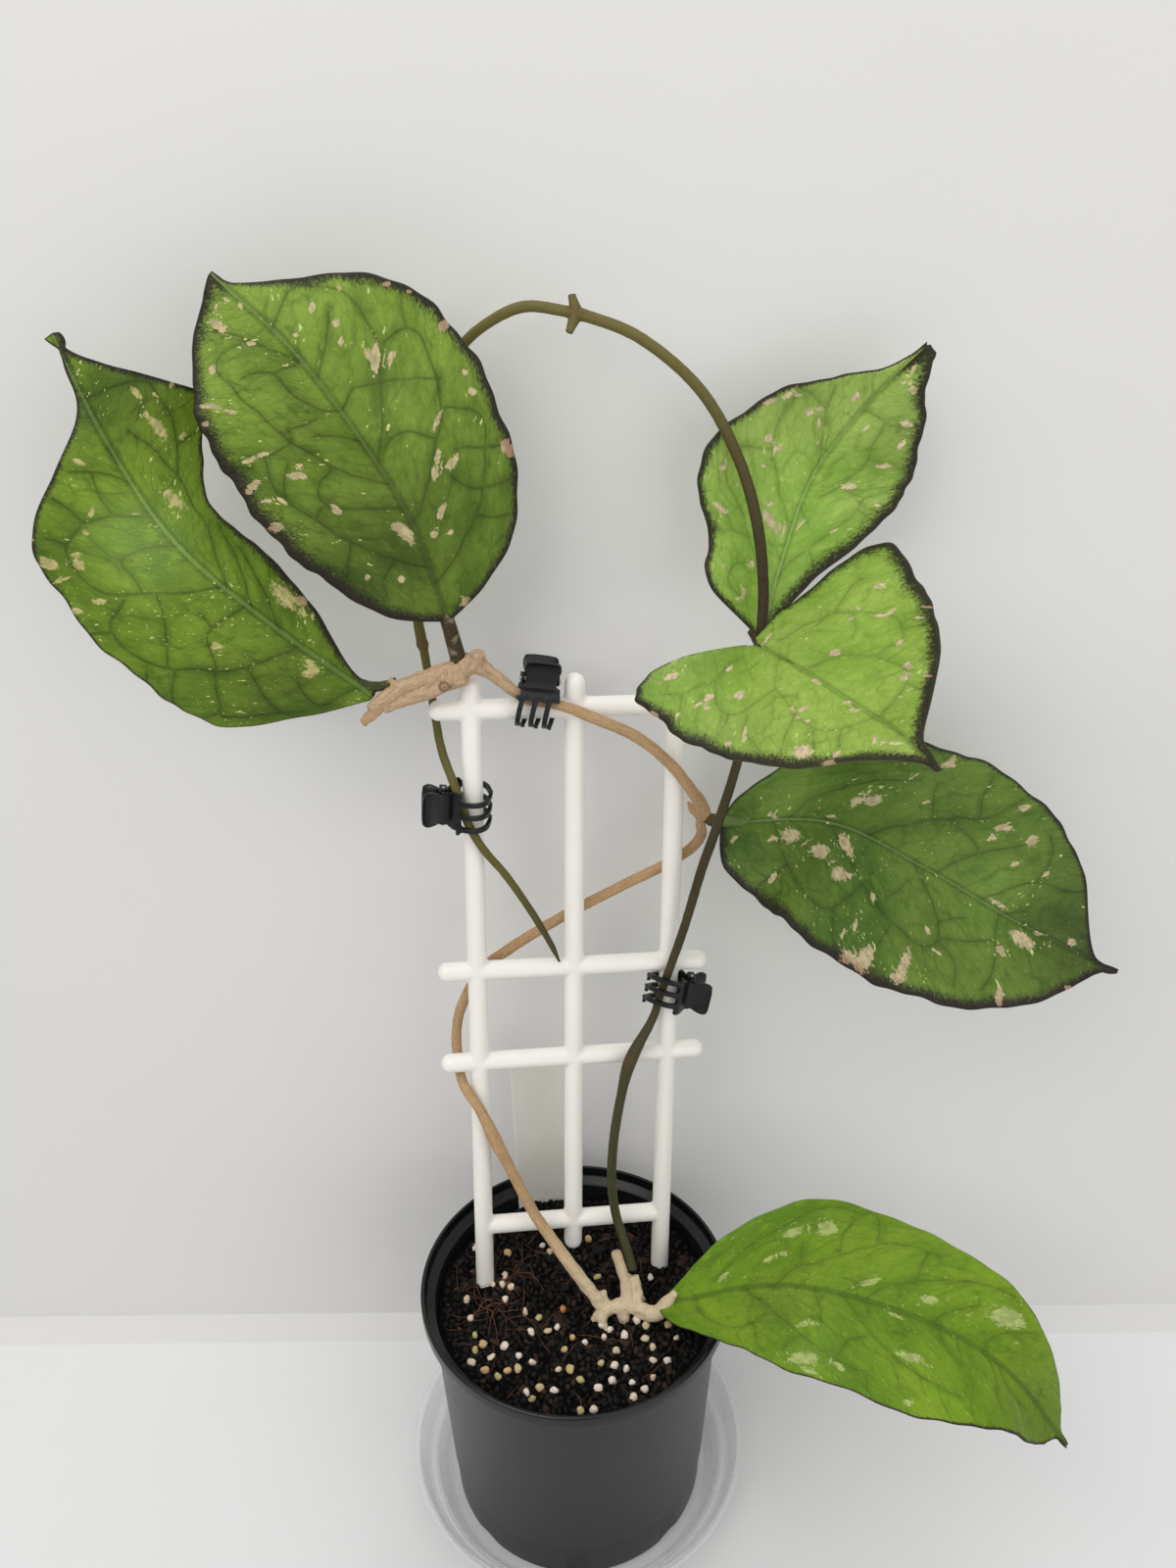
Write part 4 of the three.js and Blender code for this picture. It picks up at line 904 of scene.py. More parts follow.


# leaves: midrib points, half widths left and right of it at the stations and how its tip narrows. The rest
# is in millimetres across and along the blade: spots of painted light and shade (place, spread, gain), the
# main veins, and the larger silvery splashes (place, length, width, turn in degrees)
stations = [0, 0.07, 0.2, 0.36, 0.52, 0.68, 0.82, 0.93, 1]
tipStations = [0.9, 0.93, 0.965, 1]
leafShape = {
    "rows": 176, "columns": 104, "body": 1.0, "margin": 1.1, "quilt": 0.22, "rib": 0.25, "ribBelow": 1.3,
    "veinBelow": 0.2, "slant": 0.5, "curl": 0.006, "stray": 0.7, "stalkMeets": 0.085, "stalkUnder": 0.9,
}
leaves = [
    {
        "name": "FarLeft", "node": "leaf_far_left", "slot": "leaf_green", "seed": 1,
        "midrib": [[-52, 28, 284], [-75, 21, 307], [-95, 17, 330], [-108, 18, 355], [-118, 24, 379]],
        "left": [1.5, 14, 31, 32, 31.5, 27, 4, 1, 0.6],
        "right": [1.5, 3, 12, 16.5, 15.5, 22.5, 27.5, 7.5, 1.2],
        "tip": ([1, 1, 0.7, 4.2], [1, 0.85, 0.3, 1.2]), "sweep": [0.1, -0.2], "face": [0.1, -1, 0.2],
        "liftLeft": [0, 0, 0], "liftRight": [-30, -45, -20],
        "petiole": [
            [-46.4, 31.6, 287.2, 0.9], [-49.6, 30.8, 286, 1.3], [-53.6, 29, 286.6, 1.6],
            [-58, 26.2, 289.8, 0.9]],
        "edgeLeft": [0.5, 0.6, 0.9, 1.4, 0.5], "edgeRight": [1.6, 3.2, 1.8, 1.6, 1.8],
        "look": {"deep": (66, 93, 16), "bright": (112, 139, 39), "rib": [(108, 138, 66), (120, 148, 74)],
                 "silver": (186, 178, 118), "veins": 1.0, "flecks": 0.85, "stalk": "green"},
        "paintedLightSpots": [(-6, 65, 15, 0.6), (-12, 18, 15, -0.35), (8, 96, 15, -0.3)],
        "veins": [
            [(0, 22), (-8, 26), (-14, 29), (-18, 33), (-23, 39), (-26, 43), (-28, 48), (-28, 52), (-27, 55),
             (-23, 57), (-18, 58)],
            [(0, 45), (-7, 50), (-13, 55), (-18, 58), (-22, 61), (-24, 65), (-24, 70), (-22, 73), (-15, 75)],
            [(0, 68), (-7, 73), (-11, 74), (-15, 75), (-16, 79), (-18, 83)],
            [(0, 78), (-2, 81), (-7, 85), (-12, 87)], [(-13, 54), (-16, 49), (-21, 45), (-25, 42)],
            [(0, 60), (-6, 63), (-11, 64), (-14, 64), (-13, 60), (-15, 56)],
            [(0, 38), (-6, 40), (-11, 41), (-14, 39), (-18, 33)], [(-10, 41), (-9, 45)],
            [(-19, 33), (-24, 29), (-27, 26), (-31, 28)],
            [(-13, 28), (-16, 23), (-17, 20), (-18, 16), (-14, 12)],
            [(-8, 17), (-10, 15), (-11, 12), (-10, 8), (-4, 7), (0, 4)], [(-25, 40), (-30, 38), (-33, 35)],
            [(-27, 54), (-30, 56), (-32, 57)], [(-22, 73), (-25, 76)], [(-7, 84), (-8, 78), (-8, 74)],
            [(-29, 45), (-32, 43)], [(-28, 25), (-23, 20), (-18, 16)],
            [(0, 44), (7, 52), (11, 59), (11, 67), (12, 74), (16, 81), (18, 88), (17, 97), (15, 102),
             (8, 102), (0, 101)],
            [(16, 81), (22, 83)], [(0, 83), (0, 88)], [(6, 90), (9, 85), (10, 79), (12, 73)],
            [(0, 36), (6, 42), (11, 48), (13, 56)], [(0, 28), (5, 34), (10, 41), (12, 47)]],
        "splashes": [
            (13, 88, 7.8, 2.8, 99), (12, 99, 3.5, 1.7, 98), (12, 92, 3.2, 1.2, 91), (16, 97, 2.1, 1.1, 115),
            (7, 69, 8, 3.2, 107), (-8, 88, 2.7, 1.7, 128), (-12, 76, 2.2, 1.2, 30), (-3, 71, 2.6, 0.7, 151),
            (-16, 73, 2.1, 1.5, 152), (-22, 68, 3.1, 2.4, 122), (-28, 71, 4.6, 3.1, 145),
            (-21, 70, 2.6, 0.8, 163), (-30, 61, 2.4, 1.5, 156), (9, 31, 7.9, 5.3, 80),
            (11, 27, 3.5, 3.1, 62), (-4, 16, 4.7, 2.6, 147), (-2, 18, 3.3, 1.8, 107),
            (-13, 37, 2.9, 2.2, 128), (-28, 77, 1.5, 0.8, 149), (21, 99, 3.6, 1.3, 58),
            (18, 83, 3, 1.3, 37), (8, 25, 2.8, 1.6, 97), (-24, 60, 3.8, 1.3, 161), (-28, 67, 5.4, 0.7, 172)],
    },
    {
        "name": "UpperLeft", "node": "leaf_upper_left", "slot": "leaf_green", "seed": 2,
        "midrib": [[-31, 31, 305], [-38, 26, 333], [-50, 23, 357], [-64, 25, 376], [-81, 30, 391]],
        "left": [1.5, 15, 26.5, 32, 33, 31, 25, 13.5, 0.6],
        "right": [1.5, 12, 26, 32.5, 34, 28.5, 12.5, 2.5, 0.6],
        "tip": ([1, 1, 0.85, 1], [1, 1, 0.8, 1]), "sweep": [-0.2, 0.2], "face": [0.1, -1, 0.15],
        "liftLeft": [4, -6, -8], "liftRight": [4, -6, -8],
        "petiole": [
            [-28.9, 34.2, 291, 2.3], [-30, 33.7, 297, 2.15], [-31.4, 32.2, 305, 2], [-32.6, 30.2, 311, 1.1]],
        "edgeLeft": [3.0, 5.4, 5.6, 4.2, 3.0], "edgeRight": [1.8, 2.6, 2.6, 2.8, 0.4],
        "look": {"deep": (71, 96, 19), "bright": (120, 147, 52), "rib": [(74, 84, 34), (126, 152, 84)],
                 "silver": (198, 182, 140), "veins": 0.9, "flecks": 0.9, "stalk": "dark"},
        "paintedLightSpots": [(-12, 20, 20, -0.5), (12, 50, 12, 0.3), (-10, 60, 10, -0.25), (20, 80, 12, 0.2)],
        "veins": [
            [(0, 36), (-6, 40), (-10, 47), (-15, 57), (-16, 66), (-17, 75), (-17, 86), (-15, 89), (-11, 88),
             (-6, 85)],
            [(0, 14), (-8, 18), (-13, 23), (-17, 28), (-21, 38), (-24, 44), (-25, 51), (-23, 56), (-22, 59)],
            [(0, 56), (-4, 59), (-6, 64), (-7, 69), (-7, 74), (-10, 78), (-14, 79)],
            [(0, 72), (-3, 77), (-6, 85), (-7, 89), (-10, 95)], [(-15, 57), (-22, 58), (-26, 62)],
            [(0, 29), (-9, 34), (-18, 39), (-15, 45), (-10, 46)], [(-18, 39), (-21, 38)],
            [(-7, 74), (-2, 72), (0, 72)], [(-16, 28), (-19, 22), (-21, 18)],
            [(-8, 18), (-12, 15), (-13, 10)], [(-13, 60), (-6, 58)], [(-9, 55), (-5, 52), (-1, 49), (0, 45)],
            [(0, 25), (7, 30), (12, 36), (17, 40), (21, 44), (24, 51), (26, 57), (26, 60), (24, 63),
             (17, 63)],
            [(0, 41), (7, 49), (11, 55), (15, 60), (17, 64), (18, 69), (19, 73), (17, 79), (13, 83),
             (9, 86), (4, 84), (0, 82)],
            [(0, 66), (6, 70), (12, 76)],
            [(0, 10), (8, 15), (16, 21), (21, 27), (25, 32), (28, 37), (27, 40), (24, 42), (21, 44)],
            [(4, 44), (7, 45), (11, 44), (15, 39)],
            [(0, 56), (6, 59), (7, 58), (12, 56), (16, 54), (24, 49)],
            [(18, 35), (21, 35), (25, 32), (31, 31)], [(14, 31), (16, 27), (20, 25), (28, 25)],
            [(24, 63), (26, 66), (29, 69)], [(16, 21), (20, 19), (24, 19)],
            [(-24, 44), (-23, 49), (-18, 53)]],
        "splashes": [
            (10, 79, 2.6, 1.7, 36), (-8, 94, 5.6, 2.4, 100), (-6, 84, 3, 1.1, 128), (12, 73, 2.2, 1.8, 16),
            (10, 69, 2.3, 1.5, 38), (3, 77, 1.5, 1.1, 141), (14, 61, 7.7, 2.3, 47), (13, 63, 2.9, 1.2, 75),
            (17, 59, 4, 1.9, 39), (-24, 80, 7.6, 1.7, 124), (-21, 74, 2.6, 1.1, 132),
            (-18, 49, 5.1, 1.9, 145), (-16, 51, 2, 0.8, 146), (-22, 59, 3.9, 1.4, 154),
            (-26, 60, 3.5, 1.5, 155), (-29, 53, 5.7, 2.3, 12), (-28, 48, 3.1, 1.2, 153),
            (-25, 46, 3.2, 1.3, 112), (-30, 41, 4.3, 2.6, 168), (-15, 37, 3.6, 1.9, 107),
            (-3, 24, 7.4, 3.3, 111), (16, 33, 5.4, 2, 22), (11, 33, 4.6, 1.8, 46), (14, 36, 3.2, 1.3, 42),
            (18, 42, 6.1, 1.2, 30), (8, 25, 4.3, 1.7, 32), (4, 21, 2.2, 1.6, 17), (8, 20, 1.6, 1.1, 10),
            (32, 58, 3.3, 2.1, 6), (30, 47, 1.6, 1.3, 147), (30, 30, 4.4, 3.2, 95), (29, 43, 1.8, 1.5, 150),
            (27, 72, 2.1, 1.1, 145), (30, 68, 1.4, 0.8, 144), (18, 78, 1.7, 1.2, 97), (-8, 13, 2, 1.6, 162),
            (-16, 16, 1.7, 1.6, 71), (6, 3, 3.5, 2.5, 41), (-17, 88, 2.4, 2, 47), (-28, 77, 2, 1.7, 132),
            (-1, 92, 1.9, 1, 68), (-5, 97, 1.5, 1, 24), (-2, 96, 1.5, 0.8, 93)],
    },
    {
        "name": "UpperRight", "node": "leaf_upper_right", "slot": "leaf_green", "seed": 3,
        "midrib": [[53, 33, 298], [59, 40, 319], [66, 44, 339], [78, 43, 357], [91, 39, 372]],
        "left": [1.5, 17, 21.5, 30.5, 23.5, 12, 4, 1.2, 0.6],
        "right": [1.5, 4, 11, 22, 23, 16.5, 8.5, 4, 0.6],
        "tip": ([1, 1, 1, 1], [1, 1, 1.3, 1]), "sweep": [0.2, 1.2], "face": [0.1, -1, 0.1],
        "liftLeft": [2, 8, 10], "liftRight": [10, 14, 10],
        "petiole": [
            [52.4, 27.4, 298.6, 1.8], [53, 31, 297.6, 1.7], [53.4, 33.4, 299.4, 1.6], [55.2, 36, 306, 1]],
        "edgeLeft": [1.5, 2.4, 1.8, 0.5, 0.6], "edgeRight": [2.4, 4.2, 4.0, 3.4, 6.5],
        "look": {"deep": (119, 156, 56), "bright": (162, 189, 93), "rib": [(156, 184, 112), (140, 170, 92)],
                 "silver": (214, 196, 158), "veins": 0.62, "flecks": 0.75, "stalk": "green"},
        "paintedLightSpots": [(20, 70, 18, -0.45), (-20, 60, 12, -0.35), (-6, 28, 16, 0.25)],
        "veins": [
            [(0, 27), (-5, 34), (-10, 41), (-13, 44), (-16, 49), (-16, 51), (-17, 55), (-16, 57)],
            [(0, 46), (-3, 51), (-6, 56), (-8, 60), (-10, 64)],
            [(-5, 16), (-10, 22), (-13, 27), (-17, 32), (-22, 35), (-23, 38)],
            [(-13, 45), (-17, 44), (-21, 44), (-24, 42)],
            [(-16, 51), (-16, 59), (-15, 60), (-11, 59), (-8, 59)],
            [(-20, 28), (-16, 24), (-12, 24), (-10, 22)], [(-16, 24), (-21, 22)],
            [(-9, 17), (-13, 16), (-14, 12), (-9, 9)],
            [(4, 38), (8, 44), (9, 48), (10, 54), (8, 59), (7, 65), (4, 65), (0, 64)],
            [(0, 15), (2, 19), (6, 25), (10, 30), (13, 34), (15, 39), (15, 43), (18, 46), (21, 51)],
            [(6, 65), (9, 65), (12, 67)], [(10, 54), (15, 57), (20, 57)], [(15, 39), (19, 37), (22, 38)],
            [(6, 25), (8, 22)], [(8, 44), (11, 43), (15, 43)], [(0, 34), (4, 31)]],
        "splashes": [
            (-7, 29, 6.4, 2.6, 145), (-8, 33, 2.3, 1.3, 16), (-4, 65, 2.6, 2, 102), (-11, 56, 2.2, 2, 64),
            (-7, 55, 2.6, 0.8, 140), (-9, 58, 1.6, 1.2, 26), (-16, 47, 2.1, 2.1, 92),
            (-13, 45, 3.3, 0.7, 115), (-12, 46, 2.3, 0.8, 172), (-14, 41, 2, 0.8, 171),
            (-24, 38, 2.2, 1.5, 15), (-22, 29, 2.5, 1.5, 179), (-20, 28, 3.3, 1.3, 173),
            (10, 45, 4.9, 2.3, 35), (11, 68, 3.4, 2.1, 28), (14, 63, 3.5, 1.7, 93), (14, 55, 5.1, 1.2, 40),
            (6, 76, 2.3, 2.3, 135), (2, 80, 2.6, 1, 107), (3, 76, 1.9, 0.7, 89), (4, 61, 2, 0.8, 85),
            (-18, 57, 2, 1.6, 61), (-21, 54, 3.9, 1.3, 38), (-8, 17, 1.9, 1.7, 107),
            (-8, 10, 2.1, 1.5, 108), (-9, 8, 1.3, 0.9, 13), (-16, 58, 1.3, 1, 28), (-4, 51, 1.4, 0.8, 120),
            (-15, 15, 1.2, 0.9, 17), (19, 42, 1.9, 1.2, 20), (2, 30, 4.8, 0.6, 67), (11, 31, 3.3, 0.6, 48),
            (-2, 27, 3.3, 0.9, 85), (-4, 27, 2.6, 1, 75)],
    },
    {
        "name": "MidRight", "node": "leaf_mid_right", "slot": "leaf_bright", "seed": 4,
        "midrib": [[51, 24, 299], [61, 8, 298], [69, -12, 298], [76, -32, 299], [80, -50, 299]],
        "left": [1.5, 6, 17.5, 36, 32, 22.5, 4, 1.5, 0.6],
        "right": [1.5, 19, 35, 38.5, 35, 25.5, 11.5, 2, 0.6],
        "tip": ([1, 1, 1, 1], [1, 1, 1, 1]), "sweep": [-1.2, 0], "face": [-0.6, -0.5, 0.9],
        "liftLeft": [16, 16, 16], "liftRight": [25, 25, 25],
        "petiole": [[52.2, 26.8, 298.6, 1.8], [52, 23.6, 298.4, 1.6], [55, 17.6, 298.2, 1]],
        "edgeLeft": [0.5, 2.6, 4.0, 3.8, 2.6], "edgeRight": [0.5, 2.8, 4.2, 3.8, 2.4],
        "look": {"deep": (112, 145, 47), "bright": (151, 178, 81), "rib": [(118, 154, 74), (128, 164, 84)],
                 "silver": (220, 196, 164), "veins": 0.6, "flecks": 1.0, "stalk": "green"},
        "paintedLightSpots": [(-12, 34, 15, 0.35), (-28, 14, 12, 0.15), (20, 12, 12, 0.15)],
        "veins": [
            [(0, 10), (4, 14), (10, 21), (11, 29), (13, 36), (13, 44), (9, 49), (3, 50), (0, 50)],
            [(7, 2), (12, 2), (18, 7), (24, 16), (25, 24), (21, 25), (15, 23), (10, 22)],
            [(13, 36), (19, 42), (24, 48)], [(13, 44), (17, 51)], [(21, 26), (26, 35), (27, 44)],
            [(25, 24), (31, 30)], [(9, 49), (13, 55)],
            [(0, 20), (-5, 24), (-9, 29), (-12, 38), (-16, 40), (-18, 44), (-21, 42), (-23, 37), (-21, 31),
             (-19, 23), (-14, 15), (-9, 11), (-4, 7)],
            [(-12, 38), (-13, 45), (-14, 50), (-10, 53), (-5, 52), (0, 51)],
            [(-16, 18), (-25, 18), (-27, 20)], [(-19, 23), (-16, 27), (-13, 28)], [(-10, 53), (-11, 58)],
            [(18, 7), (22, 5), (28, 7), (31, 2)], [(28, 7), (33, 13)], [(-21, 41), (-24, 47)]],
        "splashes": [
            (18, 18, 4.4, 2.8, 57), (24, 13, 4.4, 2.4, 32), (24, -5, 5.3, 3.4, 11), (12, 4, 3.1, 1.7, 26),
            (34, 14, 2.4, 1, 37), (27, 17, 2.4, 1.4, 57), (28, 14, 2, 1, 35), (25, 33, 4.3, 0.8, 57),
            (27, 37, 4.1, 0.8, 57), (31, 36, 2.6, 1.7, 68), (20, 51, 6.2, 4.4, 69), (18, 60, 3.6, 2.5, 145),
            (38, 9, 4, 1.3, 87), (1, 27, 3.7, 1.5, 90), (-8, 26, 3.7, 1.9, 126), (-27, 26, 3.6, 1.7, 126),
            (-23, 34, 3.7, 1.4, 153), (-21, 31, 2.7, 0.9, 116), (-17, 24, 2.3, 0.7, 145),
            (-18, 43, 2.6, 1.6, 140), (-14, 50, 3.5, 1.7, 94), (-11, 51, 2.8, 1.6, 110),
            (-14, 57, 3.1, 0.8, 104), (12, 33, 2.7, 0.8, 95), (13, 37, 1.8, 1.1, 107),
            (10, 35, 3.1, 2.3, 173), (12, 40, 1.5, 1.2, 134), (1, 40, 2, 2, 126), (2, 44, 2.9, 1.8, 92),
            (6, 59, 5.2, 0.9, 57), (3, 64, 3.4, 1.7, 137), (5, 61, 1.8, 1.3, 132), (-3, 3, 5, 0.9, 161),
            (18, -12, 3.6, 1.3, 1), (9, 23, 1.3, 1, 59), (-28, 44, 4.3, 0.8, 102), (-25, 44, 3.7, 0.6, 105),
            (15, 58, 3.6, 1.9, 39), (-20, 24, 1.9, 0.7, 78)],
    },
    {
        "name": "LowerRight", "node": "leaf_lower_right", "slot": "leaf_dark", "seed": 5,
        "midrib": [[46, 34, 240], [75, 26, 244], [102, 18, 233], [129, 12, 218], [158, 8, 204]],
        "left": [1.5, 7, 16.5, 29, 35, 31.5, 22, 2, 0.6],
        "right": [1.5, 13.5, 26, 35, 36.5, 31, 20, 7, 0.6],
        "tip": ([1, 1, 0.8, 1], [1, 0.9, 0.6, 1]), "sweep": [-0.8, 0.1], "face": [0, -0.8, 0.6],
        "liftLeft": [8, 8, 8], "liftRight": [8, 8, 8],
        "petiole": [[45.6, 33.4, 240.8, 1.7], [48, 33, 240.8, 1.7], [54, 31.4, 241.6, 1]],
        "edgeLeft": [0.8, 0.9, 1.2, 1.8, 2.0], "edgeRight": [2.6, 4.2, 3.8, 3.6, 2.2],
        "look": {"deep": (62, 92, 24), "bright": (101, 127, 47), "rib": [(124, 148, 88), (104, 132, 70)],
                 "silver": (194, 178, 140), "veins": 0.8, "flecks": 0.8, "stalk": "light"},
        "paintedLightSpots": [(-5, 112, 20, -0.9), (-12, 18, 12, 0.35), (-4, 88, 14, 0.35), (16, 24, 12, -0.3)],
        "veins": [
            [(0, 19), (-5, 24), (-9, 29), (-13, 35), (-18, 42), (-21, 48)],
            [(0, 43), (-5, 47), (-11, 54), (-16, 61), (-20, 68), (-23, 72), (-28, 74), (-31, 76)],
            [(0, 65), (-6, 69), (-12, 73), (-14, 69), (-15, 62)], [(-12, 73), (-16, 78), (-20, 83)],
            [(0, 80), (-7, 85), (-13, 91), (-14, 100), (-17, 107)],
            [(-13, 91), (-17, 93), (-23, 91), (-26, 88)], [(-20, 68), (-26, 66), (-32, 66)],
            [(0, 87), (-4, 93)], [(-13, 57), (-18, 54), (-23, 53)],
            [(0, 14), (6, 16), (14, 20), (20, 27), (25, 35), (25, 42), (19, 45), (13, 48)],
            [(0, 31), (6, 37), (12, 46), (16, 53), (19, 60), (21, 68), (20, 73), (16, 74), (10, 70),
             (5, 64), (0, 58)],
            [(19, 60), (24, 59), (27, 58)], [(25, 43), (30, 46), (34, 50)], [(17, 74), (20, 81), (26, 83)],
            [(0, 86), (8, 88), (14, 91), (23, 90)], [(12, 71), (7, 78)], [(14, 20), (18, 14), (20, 11)],
            [(14, 55), (6, 59)], [(8, 88), (13, 82), (16, 74)]],
        "splashes": [
            (5, 20, 7, 4.5, 81), (9, 31, 7.5, 4.3, 86), (5, 38, 8.4, 2.8, 48), (14, 40, 6, 4.1, 83),
            (13, 43, 2.4, 1.4, 116), (-10, 40, 5.1, 2.9, 145), (-8, 36, 4.6, 2.1, 160),
            (-2, 31, 2.9, 0.9, 111), (5, 3, 3.6, 1.4, 131), (6, 14, 2.7, 1.2, 106), (-1, 15, 3, 1.6, 36),
            (18, 16, 4.1, 2.6, 153), (15, 52, 3, 1.7, 58), (34, 53, 4.6, 4, 92), (32, 57, 9.2, 4.2, 0),
            (28, 68, 10.3, 3.2, 10), (32, 68, 4.5, 3.1, 122), (25, 51, 4.2, 1.4, 17), (29, 49, 4.4, 0.9, 8),
            (16, 70, 2.8, 1.5, 56), (20, 75, 3.8, 0.9, 86), (4, 95, 8.1, 4.2, 87), (10, 91, 3.5, 2.3, 64),
            (-2, 85, 6.3, 1.3, 86), (-21, 75, 5.8, 2.1, 123), (-22, 84, 3.8, 3.3, 150),
            (-29, 77, 4, 1.7, 136), (-31, 53, 3.5, 1.9, 156), (-29, 53, 4.9, 2, 122),
            (-21, 46, 3.4, 0.7, 153), (-16, 93, 2.8, 1.6, 156), (-14, 83, 2.9, 1.4, 140),
            (-17, 74, 2.1, 1.1, 118), (-17, 53, 2, 0.9, 115), (22, 95, 6.2, 2.5, 15),
            (11, 112, 2.5, 1.6, 116), (0, 99, 2.7, 0.8, 90), (-2, 109, 2.6, 2.3, 115)],
    },
    {
        "name": "BaseRight", "node": "leaf_base_right", "slot": "leaf_bright", "seed": 6,
        "midrib": [[28.6, -9.4, 88.2], [64, -12, 99], [97, -22, 100], [126, -34, 92], [147, -46, 70]],
        "left": [1.5, 6, 18.5, 33, 33, 26, 17, 5.5, 0.6],
        "right": [1.5, 8, 18.5, 31, 32, 22, 12.5, 4.6, 0.6],
        "tip": ([1, 0.9, 0.6, 1], [1, 0.8, 0.45, 1]), "sweep": [-1.2, 1.2], "face": [0.1, -0.1, 1],
        "liftLeft": [8, 2, -6], "liftRight": [8, 2, -6],
        "petiole": [
            [23.4, -9.2, 84, 2.6], [26.4, -9.8, 85, 2.5], [29, -9.2, 88.4, 2.2], [31.6, -8.6, 92.2, 1.2]],
        "edgeLeft": [0.25, 0.25, 0.3, 0.9, 1.0], "edgeRight": [0.3, 0.3, 0.5, 0.9, 1.1],
        "look": {"deep": (83, 118, 14), "bright": (119, 151, 31), "rib": [(72, 112, 34), (84, 122, 36)],
                 "silver": (172, 186, 112), "veins": 0.62, "flecks": 0.35, "stalk": "pale"},
        "paintedLightSpots": [(4, 125, 18, -0.5), (4, 34, 12, -0.25), (24, 48, 12, 0.25), (-24, 20, 18, 0.2)],
        "veins": [
            [(0, 33), (-7, 39), (-10, 46), (-14, 51), (-19, 58), (-24, 66), (-26, 75), (-25, 80)],
            [(-4, 15), (-9, 20), (-15, 26), (-21, 34), (-25, 38), (-29, 43), (-31, 50), (-31, 56)],
            [(-15, 50), (-23, 51), (-29, 54), (-33, 57)],
            [(0, 60), (-7, 65), (-12, 73), (-17, 82), (-21, 90), (-23, 98), (-24, 104)],
            [(-9, 40), (-16, 40)], [(-11, 74), (-18, 75), (-25, 77)], [(-21, 61), (-28, 61), (-32, 59)],
            [(0, 81), (-7, 85), (-14, 94)], [(0, 98), (-9, 101), (-16, 109), (-19, 115)],
            [(0, 24), (8, 31), (15, 39), (19, 45), (23, 52), (25, 59), (25, 64)],
            [(0, 9), (6, 10), (12, 15), (15, 21), (14, 27), (10, 31)],
            [(0, 53), (7, 59), (12, 65), (16, 71), (18, 77), (19, 85), (19, 93)],
            [(0, 83), (6, 86), (8, 92)], [(0, 98), (4, 104), (12, 105), (14, 109)],
            [(22, 55), (16, 57), (12, 63)], [(25, 64), (30, 65)], [(18, 71), (24, 74)],
            [(24, 32), (21, 29), (15, 27)], [(24, 38), (19, 40), (18, 45)], [(0, 103), (6, 111), (5, 117)],
            [(0, 45), (5, 47), (12, 49)]],
        "splashes": [
            (-19, 37, 6.1, 3.4, 128), (-22, 46, 6.7, 5.3, 118), (-7, 61, 6.6, 2.2, 127),
            (-5, 18, 4.5, 1.6, 126), (-8, 79, 5.8, 3.2, 111), (-16, 103, 13.7, 6.5, 119),
            (14, 76, 9, 3.3, 100), (14, 43, 4.2, 2.2, 122), (13, 46, 2.2, 1.7, 8), (26, 56, 4.4, 2.3, 60),
            (26, 45, 10.3, 4.4, 100), (30, 48, 4.5, 1.6, 81), (2, 70, 4.3, 1.4, 84),
            (-9, 31, 3.7, 1.5, 127), (-11, 35, 2.3, 1.9, 93), (29, 77, 3.6, 1.9, 116)],
    },
]


def smoothed(line):                     # corners cut twice, ends kept
    for _ in range(2):
        line = np.array(line, float)
        near, far = (3 * line[:-1] + line[1:]) / 4, (line[:-1] + 3 * line[1:]) / 4
        line = [line[0], *np.stack([near, far], 1).reshape(-1, 2), line[-1]]
    return line


def toVeins(leaf, x, y):                # each point's way to the nearest vein, in mm
    seed = leaf["seed"] * 7.0
    stray = np.array([noise.noise_vector(Vector((a / 6, b / 6, seed))) for a, b in zip(x, y)])
    spots = np.stack([x, y], -1) + stray[:, :2] * leafShape["stray"]
    lines = [smoothed(line) for line in leaf["veins"]]
    start = np.array([p for line in lines for p in line[:-1]], float)
    way = np.array([p for line in lines for p in line[1:]], float) - start
    best = np.full(len(x), 1e9)
    found = np.zeros((len(x), 2))
    for s, w in zip(start, way):
        t = np.clip(((spots - s) @ w) / max(w @ w, 1e-9), 0, 1)
        off = spots - s - t[:, None] * w
        gap = (off ** 2).sum(1)
        nearer = gap < best
        best[nearer] = gap[nearer]
        found[nearer] = off[nearer]
    gap = np.sqrt(best)
    # a third part, kept off near a vein, so that two ways that meet between veins don't pass for one
    return np.concatenate([found, (np.maximum(gap - 1.2, 0) * 2)[:, None]], 1), gap


def toSplash(leaf, x, y):               # each point's place in the nearest splash, its edge at length 1
    best = np.full(len(x), 1e9)
    found = np.zeros((len(x), 3))
    for cx, cy, long, short, turn in leaf["splashes"]:
        a = math.radians(turn)
        dx, dy = x - cx, y - cy
        place = np.stack([
            (dx * math.cos(a) + dy * math.sin(a)) * 2 / long,
            (dy * math.cos(a) - dx * math.sin(a)) * 2 / short], -1)
        q = np.sqrt((place ** 2).sum(1))
        nearer = q < best
        best[nearer] = q[nearer]
        found[nearer, :2] = place[nearer]
    found[:, 2] = np.maximum(best - 1.5, 0) * 3
    return found


